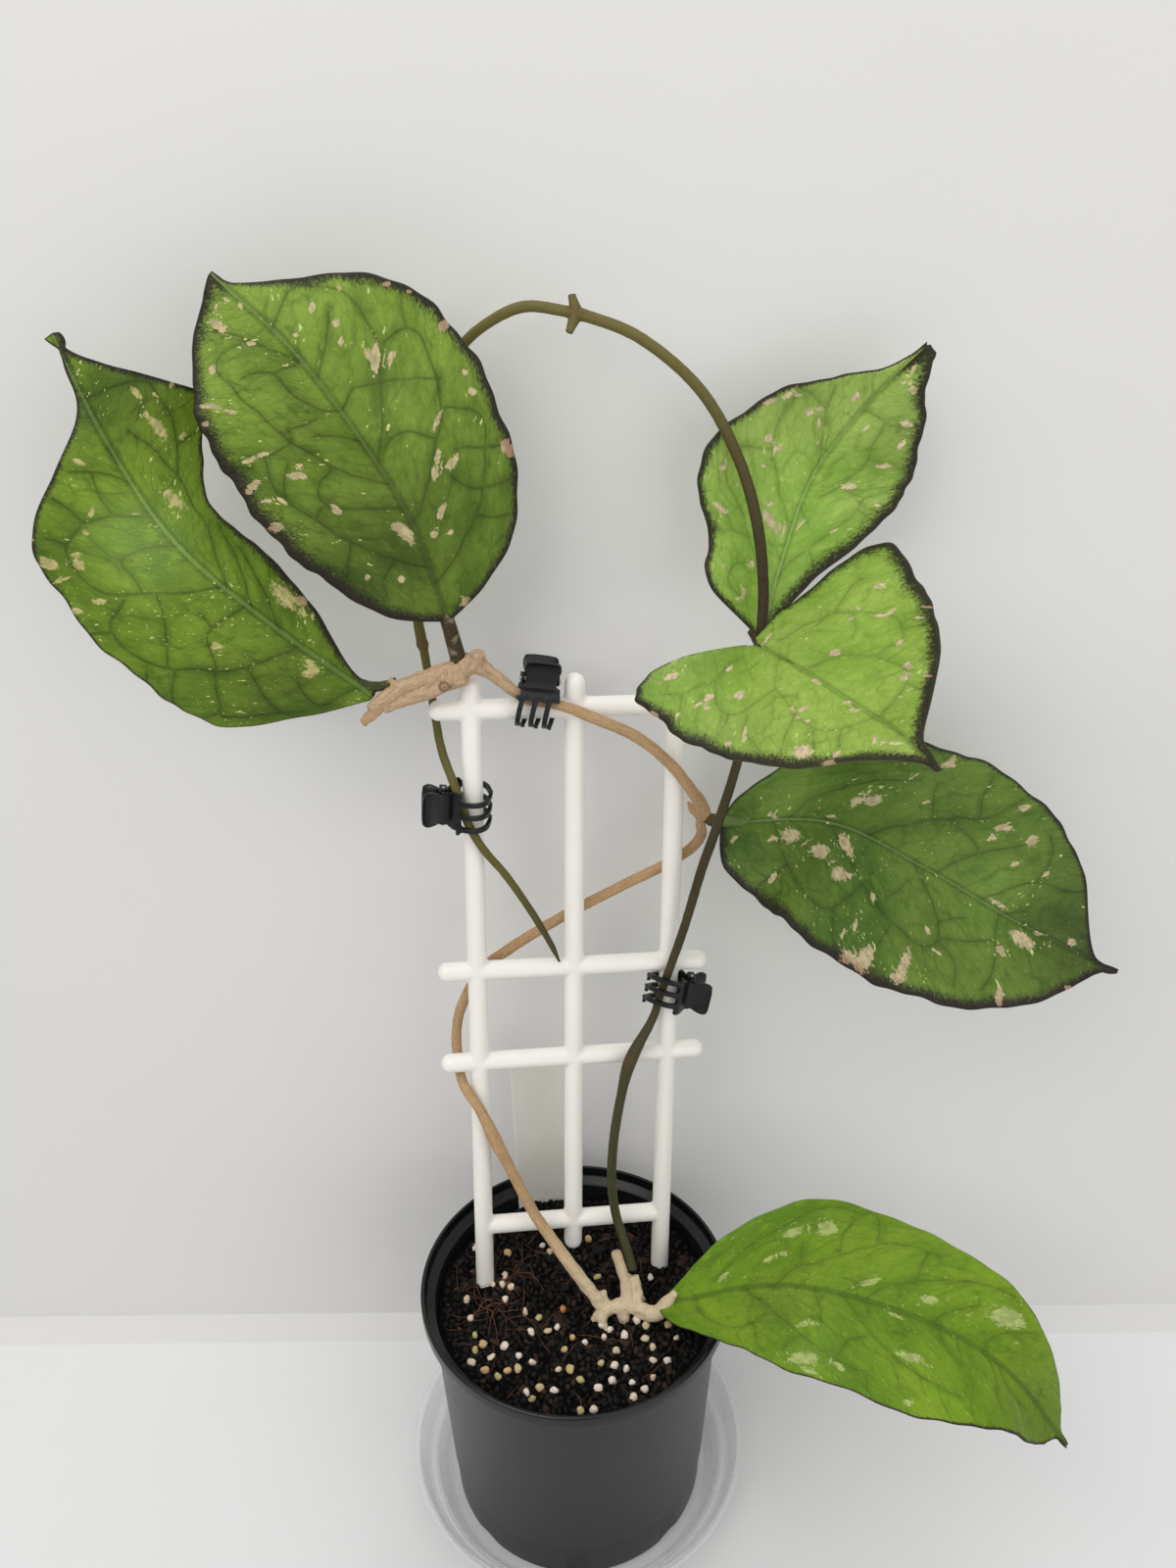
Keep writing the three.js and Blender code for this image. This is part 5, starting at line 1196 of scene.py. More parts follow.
def leafSheet(leaf):
    rows, columns = leafShape["rows"], leafShape["columns"]
    u = np.linspace(0, 1, rows + 1)[:, None] * np.ones((1, columns + 1))
    t = np.linspace(-1, 1, columns + 1)[None, :] * np.ones((rows + 1, 1))
    v = t * (1.25 - 0.25 * t * t)
    even = np.linspace(0, 1, len(leaf["midrib"]))
    ahead = along(even, leaf["midrib"], np.minimum(u + 0.001, 1))
    ahead -= along(even, leaf["midrib"], np.maximum(u - 0.001, 0))
    ahead /= np.linalg.norm(ahead, axis=2, keepdims=True)
    across = np.cross(ahead, np.array(leaf["face"], float))
    across /= np.linalg.norm(across, axis=2, keepdims=True)
    up = np.cross(across, ahead)
    state, draws = leaf["seed"], []     # the solids draw their ripples from the same row of numbers
    for _ in range(4):
        state = (state * 1664525 + 1013904223) % 4294967296
        draws.append(state / 4294967296)

    def bySide(left, right):
        return np.where(v < 0, left, right)

    w = bySide(along(stations, leaf["left"], u), along(stations, leaf["right"], u))
    w *= bySide(*(np.interp(u, tipStations, part) for part in leaf["tip"]))
    lift = np.radians(bySide(*(along([0, 0.5, 1], leaf[side], u) for side in ("liftLeft", "liftRight"))))
    phase = bySide(draws[0] * 6.3, draws[2] * 6.3)
    turns = bySide(2.2 + draws[1], 2.2 + draws[3])
    # the margin wavers a little more finely than in the solid
    w = w * (1 + (0.012 * np.sin(u * 41 + leaf["seed"]) + 0.006 * np.sin(u * 97 + phase)) * np.abs(v) ** 3)
    ripple = 0.035 * w * v * v * np.sin(phase + turns * 2 * np.pi * u)
    sweep = leaf["sweep"][0] * (1 - u) ** 3 + leaf["sweep"][1] * u * u
    reach = w * np.abs(v)
    sheet = (along(even, leaf["midrib"], u) + across * (np.sign(v) * reach * np.cos(lift))[..., None]
             + up * (reach * np.sin(lift) + ripple)[..., None] + ahead * (sweep * reach)[..., None])
    spine = along(even, leaf["midrib"], np.linspace(0, 1, 200))
    length = float(np.linalg.norm(np.diff(spine, axis=0), axis=1).sum())
    normal = np.cross(np.gradient(sheet, axis=1), np.gradient(sheet, axis=0))
    normal /= np.maximum(np.linalg.norm(normal, axis=2, keepdims=True), 1e-9)
    rim = np.concatenate([sheet[:, 0], sheet[-1], sheet[::-1, -1], sheet[0]])
    flat = sheet.reshape(-1, 3)
    some = 2000                         # points at a time, to spare memory
    edge = [np.sqrt(((flat[k:k + some, None] - rim) ** 2).sum(2).min(1)) for k in range(0, len(flat), some)]
    edge = np.concatenate(edge).reshape(u.shape)
    margin = bySide(*(along([0, 0.25, 0.5, 0.75, 1], leaf[side], u) for side in ("edgeLeft", "edgeRight")))
    return sheet, normal, v * w, u * length + sweep * reach, u, edge, margin


def leafMesh(leaf, finish):
    rows, columns = leafShape["rows"], leafShape["columns"]
    sheet, normal, x, y, u, edge, margin = leafSheet(leaf)
    veins, gap = toVeins(leaf, x.ravel(), y.ravel())
    gap = gap.reshape(u.shape)
    near = np.clip(edge / leafShape["margin"], 0, 1)
    half = 0.5 * leafShape["body"] * np.sqrt(np.maximum(1 - (1 - near) ** 2, 0))
    fade = np.clip(edge / 5, 0, 1)
    quilt = leafShape["quilt"] * fade * (1 - np.exp(-(np.minimum(gap, 5) / 1.8) ** 2))
    rib = np.exp(-(x / 0.7) ** 2) * fade * (1 - 0.75 * u)
    below = leafShape["ribBelow"] * np.exp(-(x / 1.3) ** 2) * (1 - 0.8 * u) * fade
    below += leafShape["veinBelow"] * np.exp(-(gap / 0.9) ** 2) * fade
    above = sheet + normal * (half + quilt + leafShape["rib"] * rib)[..., None]
    under = sheet - normal * (half - quilt + below)[..., None]
    total = (rows + 1) * (columns + 1)
    index = np.arange(total).reshape(u.shape)
    twin = np.full(u.shape, -1)
    for rimPart in ((0,), (-1,), (slice(None), 0), (slice(None), -1)):
        twin[rimPart] = index[rimPart]
    inner = twin < 0
    twin[inner] = total + np.arange(inner.sum())
    above[~inner] = sheet[~inner]
    points = np.concatenate([above.reshape(-1, 3), under[inner]]) * mm
    faces = []
    for grid, order in ((index, (0, 1, 2, 3)), (twin, (0, 3, 2, 1))):
        corners = (grid[:-1, :-1], grid[:-1, 1:], grid[1:, 1:], grid[1:, :-1])
        faces += np.stack([corners[k] for k in order], -1).reshape(-1, 4).tolist()
    made = mesh("leaf" + leaf["name"], points, faces, finish)
    slanted = y - leafShape["slant"] * np.abs(x) - leafShape["curl"] * x * x
    lay = np.stack([x, slanted, np.full(x.shape, leaf["seed"] * 90.0)], -1)
    side = np.concatenate([np.where(inner.ravel(), 0, 0.4), np.ones(inner.sum())])
    splash = toSplash(leaf, x.ravel(), y.ravel())
    # painted light and shade: a factor on the blade's colour, above 1 in the painted lighter spots and below
    # 1 in the painted darker ones
    paintedLightLevel = np.exp(sum(gain * np.exp(-((x - cx) ** 2 + (y - cy) ** 2) / spread ** 2)
                      for cx, cy, spread, gain in leaf["paintedLightSpots"]))

    stamp(made, "under", side)
    # the rest has the same values on the upper and the lower face
    for name, values in (("edgeGap", edge), ("edgeReach", margin), ("ribGap", np.abs(x)), ("outward", u),
                         ("paintedLightLevel", paintedLightLevel), ("lay", lay), ("toVein", veins), ("splashPlace", splash)):
        values = values.reshape(total, -1).squeeze()
        stamp(made, name, np.concatenate([values, values[inner.ravel()]]))
    # where the stalk runs into the midrib, under the blade
    row = round(leafShape["stalkMeets"] * rows)
    return made, sheet[row, columns // 2] - normal[row, columns // 2] * leafShape["stalkUnder"]


def leafFinish(name, look):
    f = Finish(name)
    lay = f.measured("lay", "Vector")           # millimetres across the leaf and along its side veins
    edge, reach, rib, under, outward, paintedLightLevel = (
        f.measured(k) for k in ("edgeGap", "edgeReach", "ribGap", "under", "outward", "paintedLightLevel"))
    vein = f.measured("toVein", "Vector").length()
    inSplash = f.measured("splashPlace", "Vector").length()
    deep, bright = shade(*look["deep"]), shade(*look["bright"])
    dark = tuple(c * 0.3 for c in deep[:3]) + (1,)
    top = 1 - under.between(0.2, 0.8)
    patch = f.noise(lay, 26, 2)
    mottle = f.noise(lay, 3.8, 4, 0.62)
    pores = f.noise(lay, 0.6, 3, 0.65)
    # deep to bright over random patches, which are the leaf's own tone, and lighter towards the tip, which is
    # painted light
    tone = f.blend((patch + outward * 0.25).between(0.34, 0.82), deep, bright)
    tone = f.blend(mottle.between(0.5, 0.7) * 0.5, tone, bright)
    tone = f.blend(mottle.between(0.49, 0.3) * 0.55, tone, deep)
    tone = f.blend(pores.between(0.52, 0.75) * 0.16, tone, shade(150, 176, 76))
    # finer nets fade in and out; the main veins stand out dark, the midrib pale between thin dark lines
    net = f.cells(f.wander(lay, 5, 1.6), 8.5, feature="DISTANCE_TO_EDGE")
    fineNet = f.cells(f.wander(lay, 2.5, 0.8), 3.4, feature="DISTANCE_TO_EDGE")
    tone = f.blend(fineNet.between(0.12, 0.02) * 0.1, tone, dark)
    tone = f.blend(net.between(0.085, 0.02) * f.noise(lay, 9, 2).between(0.38, 0.66) * 0.26, tone, dark)
    strong = (0.35 + f.noise(lay, 5, 3) * 1.3) * look["veins"]
    tone = f.blend(vein.between(2.4, 0.2) * 0.24 * strong, tone, dark)
    tone = f.blend(vein.between(0.55, 0.05) * 0.5 * strong, tone, dark)
    tone = f.blend(rib.between(1.6, 0.6) * 0.4, tone, dark)
    ribTone = f.blend(outward, shade(*look["rib"][0]), shade(*look["rib"][1]))
    # the colour is then scaled by the painted light and shade spots
    tone = f.blend((rib + outward * 0.3).between(0.6, 0.25) * 0.5, tone, ribTone).grown(paintedLightLevel)
    # a painted cool sheen, a painted reflection, on the parts with the most painted light
    tone = f.blend(paintedLightLevel.between(1, 2) * 0.35, tone, shade(138, 160, 96))
    # silvery splashes with torn edges where the leaf has them, then dashes and dots in loose clouds
    torn = f.noise(lay, 1.15, 4, 0.72)
    splash = (1 - inSplash + (torn - 0.5) * 2.5).between(0.0, 0.16)
    splash = splash * f.noise(lay, 0.7, 2).between(0.27, 0.36)
    halo = inSplash.between(4.5, 1.0)
    cloud = f.noise(lay, 11, 2).between(0.38, 0.6) * 0.75 + halo * 0.5
    dashes = f.wander(lay, 1.7, 1.3, 3).vector("MULTIPLY", (0.5, 1, 1))
    size = f.chance(dashes, 1.6, "Green").between(0.25, 1.0) * 0.26 * (cloud + 0.14)
    fleck = (size - f.cells(dashes, 1.6)).between(0, 0.05)
    dots = f.wander(lay, 1.1, 0.8)
    size = f.chance(dots, 1.1, "Blue").between(0.5, 1.0) * 0.24 * (cloud * 0.8 + 0.3)
    fleck = fleck.most((size - f.cells(dots, 1.1)).between(0, 0.06)) * look["flecks"]
    dull = shade(*(c * 0.86 for c in look["silver"]))
    silver = f.blend(f.noise(lay, 1.6, 3).between(0.4, 0.6), shade(*look["silver"]), dull)
    silver = f.blend(edge.between(3.4, 1.2) * reach.between(1, 2.5) * 0.6, silver, shade(176, 124, 116))
    tone = f.blend(fleck * top * 0.9, tone, shade(206, 210, 140))
    tone = f.blend(splash * top * 0.93, tone, silver)
    # dark speckled margin
    speck = f.noise(lay, 0.7, 3, 0.75)
    band = reach * (0.55 + f.noise(lay, 9, 2) * 1.25)
    margin = ((1 - edge / band) + (speck - 0.5) * 1.6).between(0.0, 0.75) * edge.between(9, 5)
    margin = margin.most(edge.between(0.55, 0.2) * (reach * 0.8).least(0.95)) * (1 - splash * 0.75)
    tone = f.blend(margin * (0.5 + top * 0.46), tone, shade(34, 22, 24))
    # the underside is paler and matt
    below = f.blend(vein.between(1.2, 0.3) * 0.6, shade(122, 146, 88), shade(160, 178, 118))
    below = f.blend(patch * 0.4, below, shade(100, 124, 66))
    below = f.blend(margin * 0.7, below, shade(66, 44, 42))
    tone = f.blend(under.between(0.35, 0.65), tone, below)
    height = mottle * 0.6 + pores * 0.25 + fineNet.between(0.01, 0.12) * 0.3 + splash * top * 0.2
    height = height + net.between(0.0, 0.1) * 0.3
    return f.done({
        "Base Color": tone, "Roughness": 0.4 + mottle * 0.1 + splash * top * 0.1 + under * 0.14,
        "Specular IOR Level": 0.2, "Normal": f.bump(height, 0.2)})


def stalkFinish(name, tones, patches):
    f = Finish(name)
    place = f.place()
    lay = f.measured("side", "Vector").grown(1.6).vector("ADD", place.vector("MULTIPLY", (0.15, 0.15, 0.15)))
    streak = f.noise(lay, 0.6, 3, 0.6)
    fleck = f.noise(place, 0.8, 3, 0.65)
    tone = f.blend(streak, shade(*tones[0]), shade(*tones[1]))
    tone = f.blend(f.noise(place, 3.2, 2).between(0.56, 0.66) * patches, tone, shade(*tones[2]))
    tone = f.blend(fleck.between(0.55, 0.7) * 0.35, tone, shade(*tones[2]))
    return f.done({
        "Base Color": tone, "Roughness": 0.5 + fleck * 0.2, "Specular IOR Level": 0.3,
        "Normal": f.bump(fleck + streak, 0.12)})


stalkFinishes = {
    "green": stalkFinish("green stalk skin", [(66, 72, 32), (44, 44, 22), (142, 140, 92)], 0.3),
    "dark": stalkFinish("brown stalk skin", [(66, 52, 26), (44, 36, 18), (146, 132, 112)], 0.6),
    "light": stalkFinish("light green stalk skin", [(100, 122, 62), (76, 94, 46), (140, 152, 100)], 0.3),
    "pale": stalkFinish("pale stalk skin", [(214, 196, 166), (190, 170, 136), (228, 214, 190)], 0.4),
}
for leaf in leaves:
    blade, joint = leafMesh(leaf, leafFinish("leaf skin " + leaf["name"], leaf["look"]))
    carry(blade, plant, leaf["slot"], leaf["node"])
    kind = leaf["look"]["stalk"]
    path = leaf["petiole"] if kind == "pale" else leaf["petiole"][:-1] + [[*joint, 1.0]]
    stalk = settled(stems("stalk", [domed(route(path, 0.3), (0.4, 0.8))], None, 16, 0.2, 2.0),
                    "stalk" + leaf["name"], stalkFinishes[kind])
    carry(stalk, plant, "woody_stem" if kind == "pale" else "green_stem")
    print("leaf", leaf["name"], "ready")


# claw clips: two black jaws on a pin with a spring; local +Z at the thumb tabs
clip = {
    "halfWide": 5.5, "bore": 5.6, "reach": 7.1, "plate": 1.1, "pinR": 0.45, "pinHalf": 5.8, "corner": 3.2,
    "tall": 13.0,                       # about the plate's length from tab to prongs
    "outline": [
        (-4.8, 6, 4.9), (-4.6, 5.5, 5), (-3.8, 4, 5.1), (-2.9, 2.4, 4.8), (-2.4, 1, 4.3), (-2.3, -0.6, 4.3),
        (-2.9, -1.9, 5), (-4.4, -3.2, 5.5), (-5.6, -4.8, 5.5)],
    "dish": [0, 0.5, 0.62, 0.3, 0, 0, 0, 0, 0],
    "prongs": (-4.75, -0.95, 2.85), "prongHalf": 0.5, "arch": 1.25, "arc": (148, 276), "lean": -0.7,
    "hook": 0.4, "tipOut": 0.35, "earR": 1.3, "earThick": 0.8, "earFront": 3.3, "earBack": 4.6, "edge": 0.24,
    "coilHalf": 2.6, "coilR": 1.02, "coilTurns": 6, "wireR": 0.2,
    "clips": [
        ("Top", "clip_top", (-9.9, -1, 183.4), 0, 8), ("Left", "clip_left", (-38.1, -1.2, 147), 90, 3),
        ("Right", "clip_right", (35.8, -1.1, 82.4), -90, 10)],
}


def strap(path, thick, columns=2):      # a bent strip: stations of (y, z, x from, x to, dish)
    points, faces = [], []
    n = columns + 1
    for i, (y, z, x0, x1, dish) in enumerate(path):
        before, after = path[max(i - 1, 0)], path[min(i + 1, len(path) - 1)]
        way = Vector((after[0] - before[0], after[1] - before[1])).normalized()
        off = Vector((-way.y, way.x)) * thick / 2
        for sign in (1, -1):
            for k in range(n):
                f = k / columns
                sink = dish * (1 - (2 * f - 1) ** 4)
                points.append((x0 + (x1 - x0) * f, y + sign * off.x + sink, z + sign * off.y))
    ring = 2 * n
    loop = list(range(n)) + list(range(ring - 1, n - 1, -1))
    for i in range(len(path) - 1):
        for k in range(ring):
            a, b = loop[k], loop[(k + 1) % ring]
            faces.append((i * ring + a, i * ring + b, (i + 1) * ring + b, (i + 1) * ring + a))
    last = (len(path) - 1) * ring
    for k in range(columns):
        faces.append((k + 1, k, n + k, n + k + 1))
        faces.append((last + k, last + k + 1, last + n + k + 1, last + n + k))
    return [Vector(p) for p in points], faces


def platePart():                        # thumb tab, waist and shoulder; the tab's top corners are round
    corner, tall = clip["corner"], clip["tall"]
    stops = np.linspace(0, 1, len(clip["outline"]))
    steps = (1 - np.cos(np.linspace(0, math.pi / 2, 8))) * corner / tall
    steps = np.concatenate([steps, np.linspace(0.24, 1, 26)])
    y, z, half = (along(stops, [row[i] for row in clip["outline"]], steps) for i in range(3))
    half = half - corner + np.sqrt(corner ** 2 - np.maximum(corner - steps * tall, 0) ** 2)
    dish = along(stops, clip["dish"], steps)
    return strap([(a, b, -c, c, d) for a, b, c, d in zip(y, z, half, dish)], clip["plate"], 12)


def prongPart(x):
    path = []
    arch, (first, last) = clip["arch"], clip["arc"]
    for t in np.linspace(0, 1, 40) ** 1.4:
        a = math.radians(first + (last - first) * t)
        short = arch - min(arch, max(0, t - 0.07) * 13.7)       # round arches between the prongs
        wide = clip["prongHalf"] + 0.2 * min(1, (1 - t) / 0.2) + arch - math.sqrt(arch ** 2 - short ** 2)
        # the prong bows aside, then its tip hooks back and out a little
        middle = x + clip["lean"] * math.sin(min(1, t / 0.9) * math.pi)
        middle += clip["hook"] * max(0, t / 0.3 - 2.33)
        r = clip["bore"] + clip["plate"] / 2 + clip["tipOut"] * max(0, t - 0.88) / 0.12
        path.append((math.cos(a) * r, math.sin(a) * r - clip["reach"], middle - wide, middle + wide, 0))
    return strap(path, clip["plate"] * 0.95)


def jawParts(earInner, shoulders):
    parts = [platePart()] + [prongPart(x) for x in clip["prongs"]]
    for side in (-1, 1):
        x0, x1 = sorted((side * earInner, side * (earInner + clip["earThick"])))
        points, faces = drum(clip["earR"], (x0, 0, 0), (x1, 0, 0), 24)
        parts.append(([p / mm for p in points], faces))
        parts.append(strap([(-2.6, 0, x0, x1, 0), (-0.3, 0, x0, x1, 0)], 2.1))
        if shoulders:
            x0, x1 = sorted((side * 4, side * clip["halfWide"]))
            parts.append(strap([(-2.4, 1.2, x0, x1, 0), (-2.3, -0.6, x0, x1, 0)], clip["plate"]))
    return parts


def blackFinish():
    f = Finish("black clip plastic")
    place = f.place()
    fine = f.noise(place, 0.5, 3, 0.6)
    drift = f.noise(place, 4, 2)
    tone = f.blend(drift, shade(4, 5, 5), shade(9, 10, 11))
    return f.done({
        "Base Color": tone, "Roughness": 0.26 + fine * 0.12, "Specular IOR Level": 0.38,
        "Normal": f.bump(fine + drift, 0.05)})


def steelFinish():
    f = Finish("spring steel")
    place = f.place()
    fine = f.noise(place.vector("MULTIPLY", (1, 1, 4)), 0.4, 3, 0.6)
    return f.done({
        "Base Color": f.blend(fine, shade(196, 198, 202), shade(150, 152, 156)), "Metallic": 1.0,
        "Roughness": 0.24 + fine * 0.16, "Normal": f.bump(fine, 0.02)})


def jaw(name, parts, place, finish):
    points, faces = joined(parts)
    thing = mesh(name, [place @ p * mm for p in points], faces, smooth=True)
    soft = thing.modifiers.new("edges", "BEVEL")
    soft.width = clip["edge"] * mm
    soft.segments = 2
    soft.limit_method = "ANGLE"
    soft.angle_limit = math.radians(50)
    thing = settled(thing, name, finish)
    thing.data.shade_smooth()
    thing.data.set_sharp_from_angle(angle=math.radians(60))
    return thing


blackPlastic, steel = blackFinish(), steelFinish()
turned = Matrix.Rotation(math.pi, 4, "Z")
coil, steps = [], clip["coilTurns"] * 20
for k in range(steps + 1):
    a = 2 * math.pi * k / 20
    x = clip["coilHalf"] * (2 * k / steps - 1)
    coil.append((x, math.cos(a) * clip["coilR"], math.sin(a) * clip["coilR"], clip["wireR"]))
for name, node, hinge, turn, tilt in clip["clips"]:
    place = toTrellis @ Matrix.Translation(hinge) @ Matrix.Rotation(-math.radians(turn - tilt), 4, "Y")
    front = jaw(f"clip{name}FrontJaw", jawParts(clip["earFront"], False), place, blackPlastic)
    carry(front, f"{node}_front", "clip_plastic", f"{node}_front_jaw")
    backJaw = jaw(f"clip{name}BackJaw", jawParts(clip["earBack"], True), place @ turned, blackPlastic)
    carry(backJaw, plant, "clip_plastic", f"{node}_back_jaw")
    wire = [(*(place @ Vector(p[:3])), p[3]) for p in coil]
    spring = settled(stems("wire", [domed(wire)], None, 8), f"clip{name}Spring", steel)
    carry(spring, plant, "spring_steel", f"{node}_spring")
    ends = clip["pinHalf"]
    axle = [(*(place @ Vector((x, 0, 0))), clip["pinR"]) for x in (-ends, -3, 0, 3, ends)]
    pin = settled(stems("axle", [domed(axle, (0.4, 0.4))], None, 20), f"clip{name}Pin", steel)
    carry(pin, plant, "spring_steel", f"{node}_pin")
print("clips ready")


# potting mix: near-black rough top with pumice, bark and coir
mix = {
    "top": 80, "edge": innerRadius(80) - 0.35, "rings": 70, "sides": 150,
    "rough": 1.1, "fibres": 80, "fibreSteps": 12, "fibreStep": 1.2, "fibreReach": 42.5,
}
grainKinds = [                          # crumbs first, then bark, then pumice on top
    {"name": "soilCrumbs", "finish": "bark crumbs", "reach": 43.2, "pits": 0.5, "rough": 0.6,
     "tones": [(0, (4, 4, 4)), (0.6, (12, 10, 8)), (0.88, (30, 20, 14)), (1, (60, 40, 28))],
     "sizes": {"Gap": 1.5, "Crowd": 900000.0, "Small": (0.6, 0.6, 0.5), "Large": (1.9, 1.7, 1.2),
               "Ragged": 0.7, "Grain": 1.2, "Sink": 0.1, "Tilt": 3.2, "Detail": 1, "Seed": 3}},
    {"name": "barkChips", "finish": "bark chips", "reach": 40.5, "pits": 0.5, "rough": 0.6,
     "tones": [(0, (6, 6, 5)), (0.6, (18, 13, 10)), (0.86, (60, 38, 26)), (1, (104, 72, 50))],
     "sizes": {"Gap": 5.0, "Crowd": 14000.0, "Small": (1.2, 0.9, 0.4), "Large": (4.2, 2.4, 0.9),
               "Ragged": 0.8, "Grain": 2.0, "Sink": 0.1, "Tilt": 0.6, "Detail": 2, "Seed": 5}},
    {"name": "pumiceGrains", "finish": "pumice", "reach": 40.5, "pits": 0.35, "rough": 0.8,
     "tones": [(0, (238, 226, 216)), (0.42, (240, 222, 204)), (0.66, (220, 198, 166)),
               (0.8, (196, 184, 124)), (0.93, (214, 176, 128)), (1, (200, 128, 70))],
     "sizes": {"Gap": 3.0, "Crowd": 42000.0, "Small": (0.85, 0.8, 0.8), "Large": (1.6, 1.5, 1.4),
               "Ragged": 0.7, "Grain": 1.5, "Sink": -0.7, "Tilt": 3.2, "Detail": 2,
               "Gather": 1.0, "Seed": 11}},
]


def mixHeight(x, y, rough=1.0):
    hump = 0.9 * math.sin(x * 0.19 + 1) * math.cos(y * 0.23) + 0.5 * math.sin(x * 0.47 - y * 0.39)
    lumps = noise.fractal(Vector((x, y, 4)) / 3.4, 0.9, 2.1, 5)
    return mix["top"] + hump + rough * lumps * mix["rough"]


def mixFinish():
    f = Finish("dark potting mix")
    place = f.place()
    grain = f.noise(place, 1.3, 5, 0.7)
    patch = f.noise(place, 7, 3)
    tone = f.blend(grain.between(0.35, 0.75), shade(3, 3, 3), shade(14, 11, 9))
    tone = f.blend(patch.between(0.58, 0.75) * 0.4, tone, shade(40, 25, 18))
    tone = f.blend(f.noise(place, 0.45, 3, 0.7).between(0.68, 0.78) * 0.4, tone, shade(96, 72, 52))
    return f.done({
        "Base Color": tone, "Roughness": 0.8 + grain * 0.2, "Specular IOR Level": 0.12,
        "Normal": f.bump(grain, 1.0)})


def mixBed():
    rings, sides = mix["rings"], mix["sides"]
    foot = pot["floor"] + 0.3
    points, rows = [(0, 0, foot * mm)], [[0]]
    levels = [(innerRadius(pot["floor"]) - 0.7, False)]
    levels += [(mix["edge"] * (1 - k / rings), True) for k in range(rings)]
    for radius, onTop in levels:
        rows.append(list(range(len(points), len(points) + sides)))
        calm = min(1, 0.25 + (mix["edge"] - radius) / 4)        # smoother beside the pot
        for x, y in ring(radius, sides):
            z = mixHeight(x, y, calm) if onTop else foot
            points.append((x * mm, y * mm, z * mm))
    rows.append([len(points)])
    points.append((0, 0, mixHeight(0, 0) * mm))
    return mesh("pottingMix", points, stitched(rows, sides), mixFinish())


bed = mixBed()
carry(bed, plant, "potting_mix", "potting_mix")

# Geometry Nodes: ragged lumps scattered over a surface, each with its own size, turn and tint
loose = Recipe("lumps scattered over a surface", {
    "Gap": 3.0, "Crowd": 10000.0, "Small": (1.0, 1.0, 1.0), "Large": (2.0, 2.0, 2.0), "Ragged": 0.5,
    "Grain": 1.6, "Sink": 0.3, "Tilt": 3.2, "Gather": 0.0, "Detail": 2, "Seed": 1})
# "Gather" draws the lumps into loose groups, most of them towards the front
here = loose.node("GeometryNodeInputPosition").grown(1000)
group = (loose.noise(here, 9.0, 1) - here.axis("Y") * 0.0045).between(0.44, 0.6)
spots = loose.node("GeometryNodeDistributePointsOnFaces", {"distribute_method": "POISSON"}, {
    0: loose.given("Geometry"), "Distance Min": loose.given("Gap") * mm, "Density Max": loose.given("Crowd"),
    "Density Factor": 1 - loose.given("Gather") * (1 - group), "Seed": loose.given("Seed")})
ball = loose.node("GeometryNodeMeshIcoSphere", {}, {"Radius": mm, "Subdivisions": loose.given("Detail")})
tilt, fullTurn = loose.given("Tilt"), 3.2
low = loose.node("ShaderNodeCombineXYZ", {}, {0: tilt * -1, 1: tilt * -1, 2: -fullTurn})
high = loose.node("ShaderNodeCombineXYZ", {}, {0: tilt, 1: tilt, 2: fullTurn})
turn = loose.anyVector(low, high, loose.given("Seed") + 1)
scale = loose.anyVector(loose.given("Small"), loose.given("Large"), loose.given("Seed") + 2)
lumps = loose.node("GeometryNodeInstanceOnPoints", {}, {
    "Points": spots, "Instance": ball, "Rotation": turn, "Scale": scale})
lumps = loose.node("GeometryNodeStoreNamedAttribute", {"data_type": "FLOAT", "domain": "INSTANCE"}, {
    0: lumps, "Name": "tint", "Value": loose.any(0.0, 1.0, loose.given("Seed") + 3)})
lumps = loose.node("GeometryNodeRealizeInstances", {}, {0: lumps})
where = loose.node("GeometryNodeInputPosition").grown(1000)
wild = loose.node("ShaderNodeTexNoise", {}, {
    "Vector": where, "Scale": 1 / loose.given("Grain"), "Detail": 2.0}, "Color")
wild = wild.vector("SUBTRACT", (0.5, 0.5, 0.5)).grown(loose.given("Ragged") * 2 * mm)
drop = loose.node("ShaderNodeCombineXYZ", {}, {2: loose.given("Sink") * -mm})
loose.done(loose.node("GeometryNodeSetPosition", {}, {0: lumps, "Offset": wild.vector("ADD", drop)}))


def scatterBase(name, radius, rings=14, sides=48):
    points, faces = [(0, 0, mixHeight(0, 0, 0.5) * mm)], []
    for i in range(1, rings + 1):
        for x, y in ring(radius, sides):
            x, y = x * i / rings, y * i / rings
            points.append((x * mm, y * mm, mixHeight(x, y, 0.5) * mm))
    for k in range(sides):
        faces.append((0, 1 + k, 1 + (k + 1) % sides))
    for i in range(rings - 1):
        for k in range(sides):
            a, b = 1 + i * sides + k, 1 + i * sides + (k + 1) % sides
            faces.append((a, a + sides, b + sides, b))
    return mesh(name, points, faces)


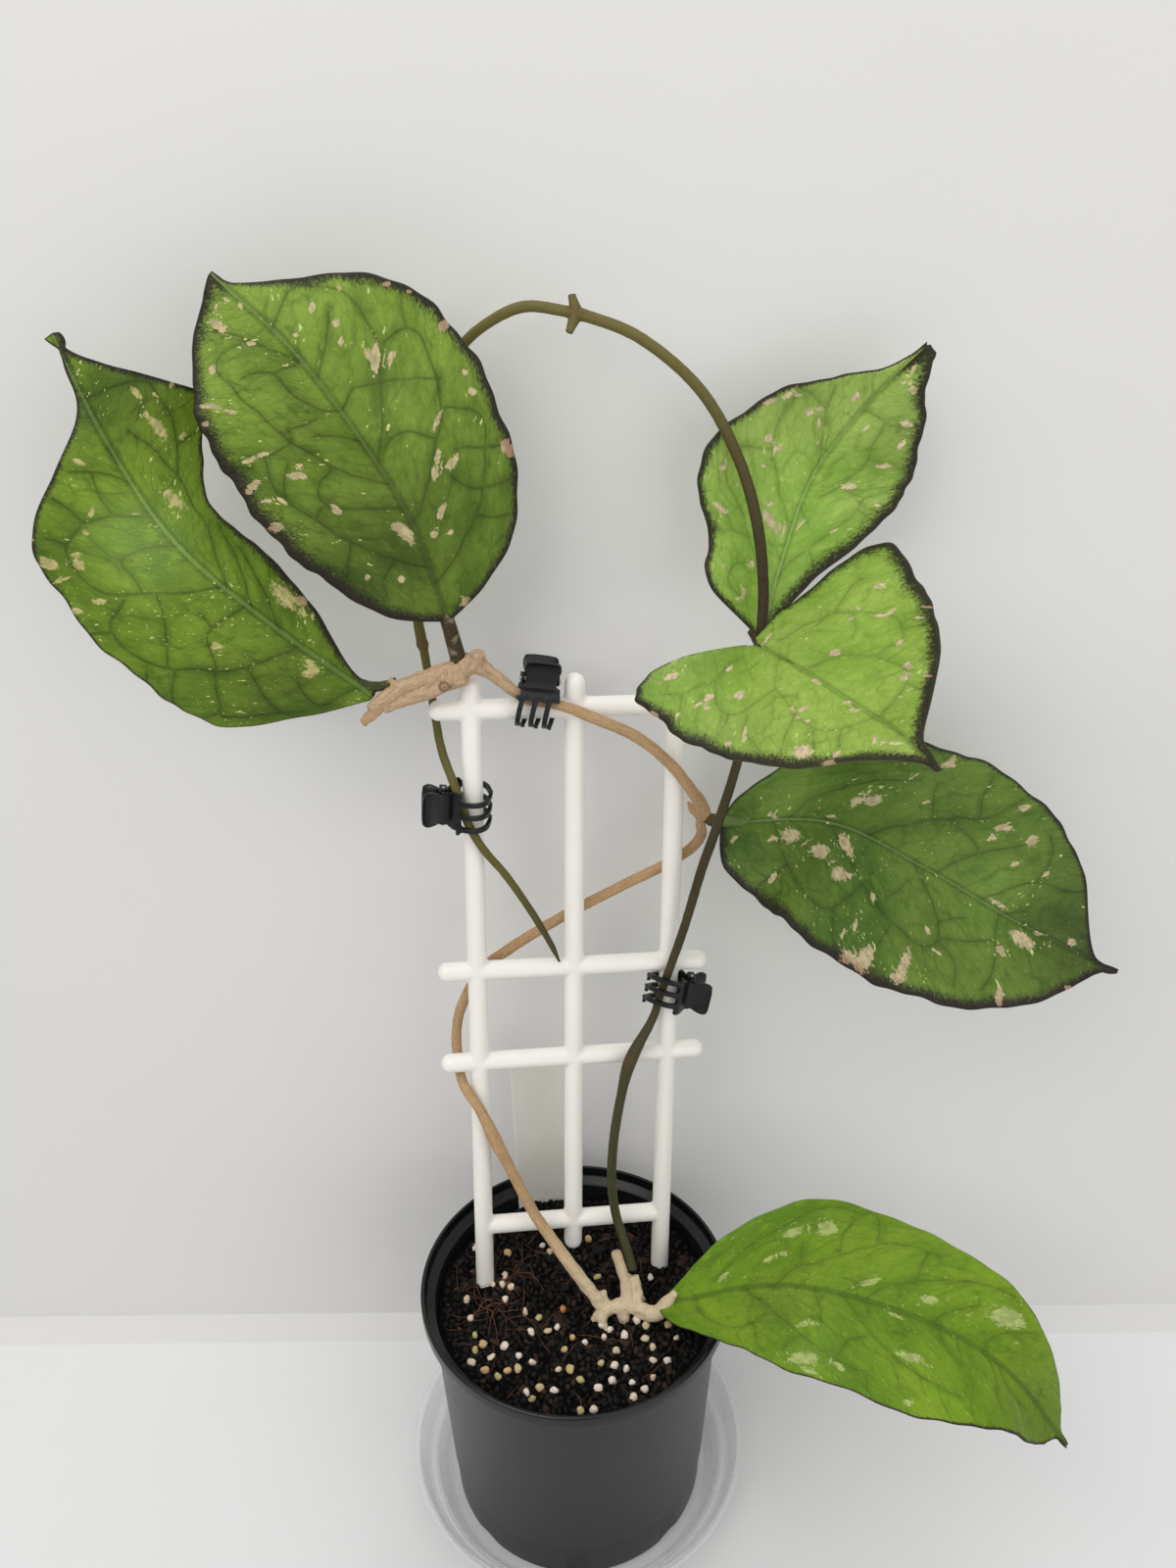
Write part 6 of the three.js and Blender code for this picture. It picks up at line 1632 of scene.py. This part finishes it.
def grainFinish(kind):
    f = Finish(kind["finish"])
    place = f.place()
    tint = f.measured("tint")
    pits = f.noise(place, 0.7, 4, 0.7)
    stops = [(at, shade(*tone)) for at, tone in kind["tones"]]
    tone = f.node("ShaderNodeValToRGB", {"stops": stops}, {0: tint})
    # darker in the pits, the low spots of the bump: painted shade in the hollows
    tone = f.blend(pits.between(0.5, 0.3) * kind["pits"], tone, shade(40, 30, 22))
    return f.done({
        "Base Color": tone, "Roughness": kind["rough"] + pits * 0.15, "Specular IOR Level": 0.25,
        "Normal": f.bump(pits, 0.35)})


for kind in grainKinds:
    base = scatterBase(kind["name"], kind["reach"])
    finish = grainFinish(kind)
    loose.add(base, finish, kind["sizes"])
    grains = settled(base, kind["name"], finish)
    carry(grains, plant, "potting_mix")
    print(kind["name"], len(grains.data.polygons), "faces")

# coir: thin reddish fibres lying loosely over the mix
rnd = random.Random(21)
fibrePaths = []
for k in range(mix["fibres"]):
    a, out = rnd.uniform(0, 2 * math.pi), math.sqrt(rnd.random()) * 38
    x, y = math.cos(a) * out, math.sin(a) * out
    if k % 3:                           # two in three lie at the left
        x, y = rnd.gauss(-27, 7), rnd.gauss(2, 10)
    heading, bend = rnd.uniform(0, 2 * math.pi), rnd.gauss(0, 0.09)
    lift, radius, path = rnd.uniform(0.2, 1.6), rnd.uniform(0.05, 0.12), []
    for step in range(mix["fibreSteps"]):
        if math.hypot(x, y) > mix["fibreReach"]:
            break
        hump = lift * math.sin(step / (mix["fibreSteps"] - 1) * math.pi)
        path.append((x, y, mixHeight(x, y, 0.6) + 0.3 + hump, radius))
        x, y = x + math.cos(heading) * mix["fibreStep"], y + math.sin(heading) * mix["fibreStep"]
        heading += bend + rnd.gauss(0, 0.07)
    if len(path) > 4:
        fibrePaths.append(path)


def coirFinish():
    f = Finish("coir fibre")
    place = f.place()
    drift = f.noise(place, 5, 2)
    tone = f.blend(drift.between(0.3, 0.7), shade(66, 38, 26), shade(112, 70, 46))
    return f.done({
        "Base Color": tone, "Roughness": 0.6 + drift * 0.2, "Normal": f.bump(f.noise(place, 0.3, 2), 0.05)})


fibres = settled(stems("fibres", fibrePaths, None, 5), "coirFibres", coirFinish())
carry(fibres, plant, "potting_mix")
print("potting mix ready")
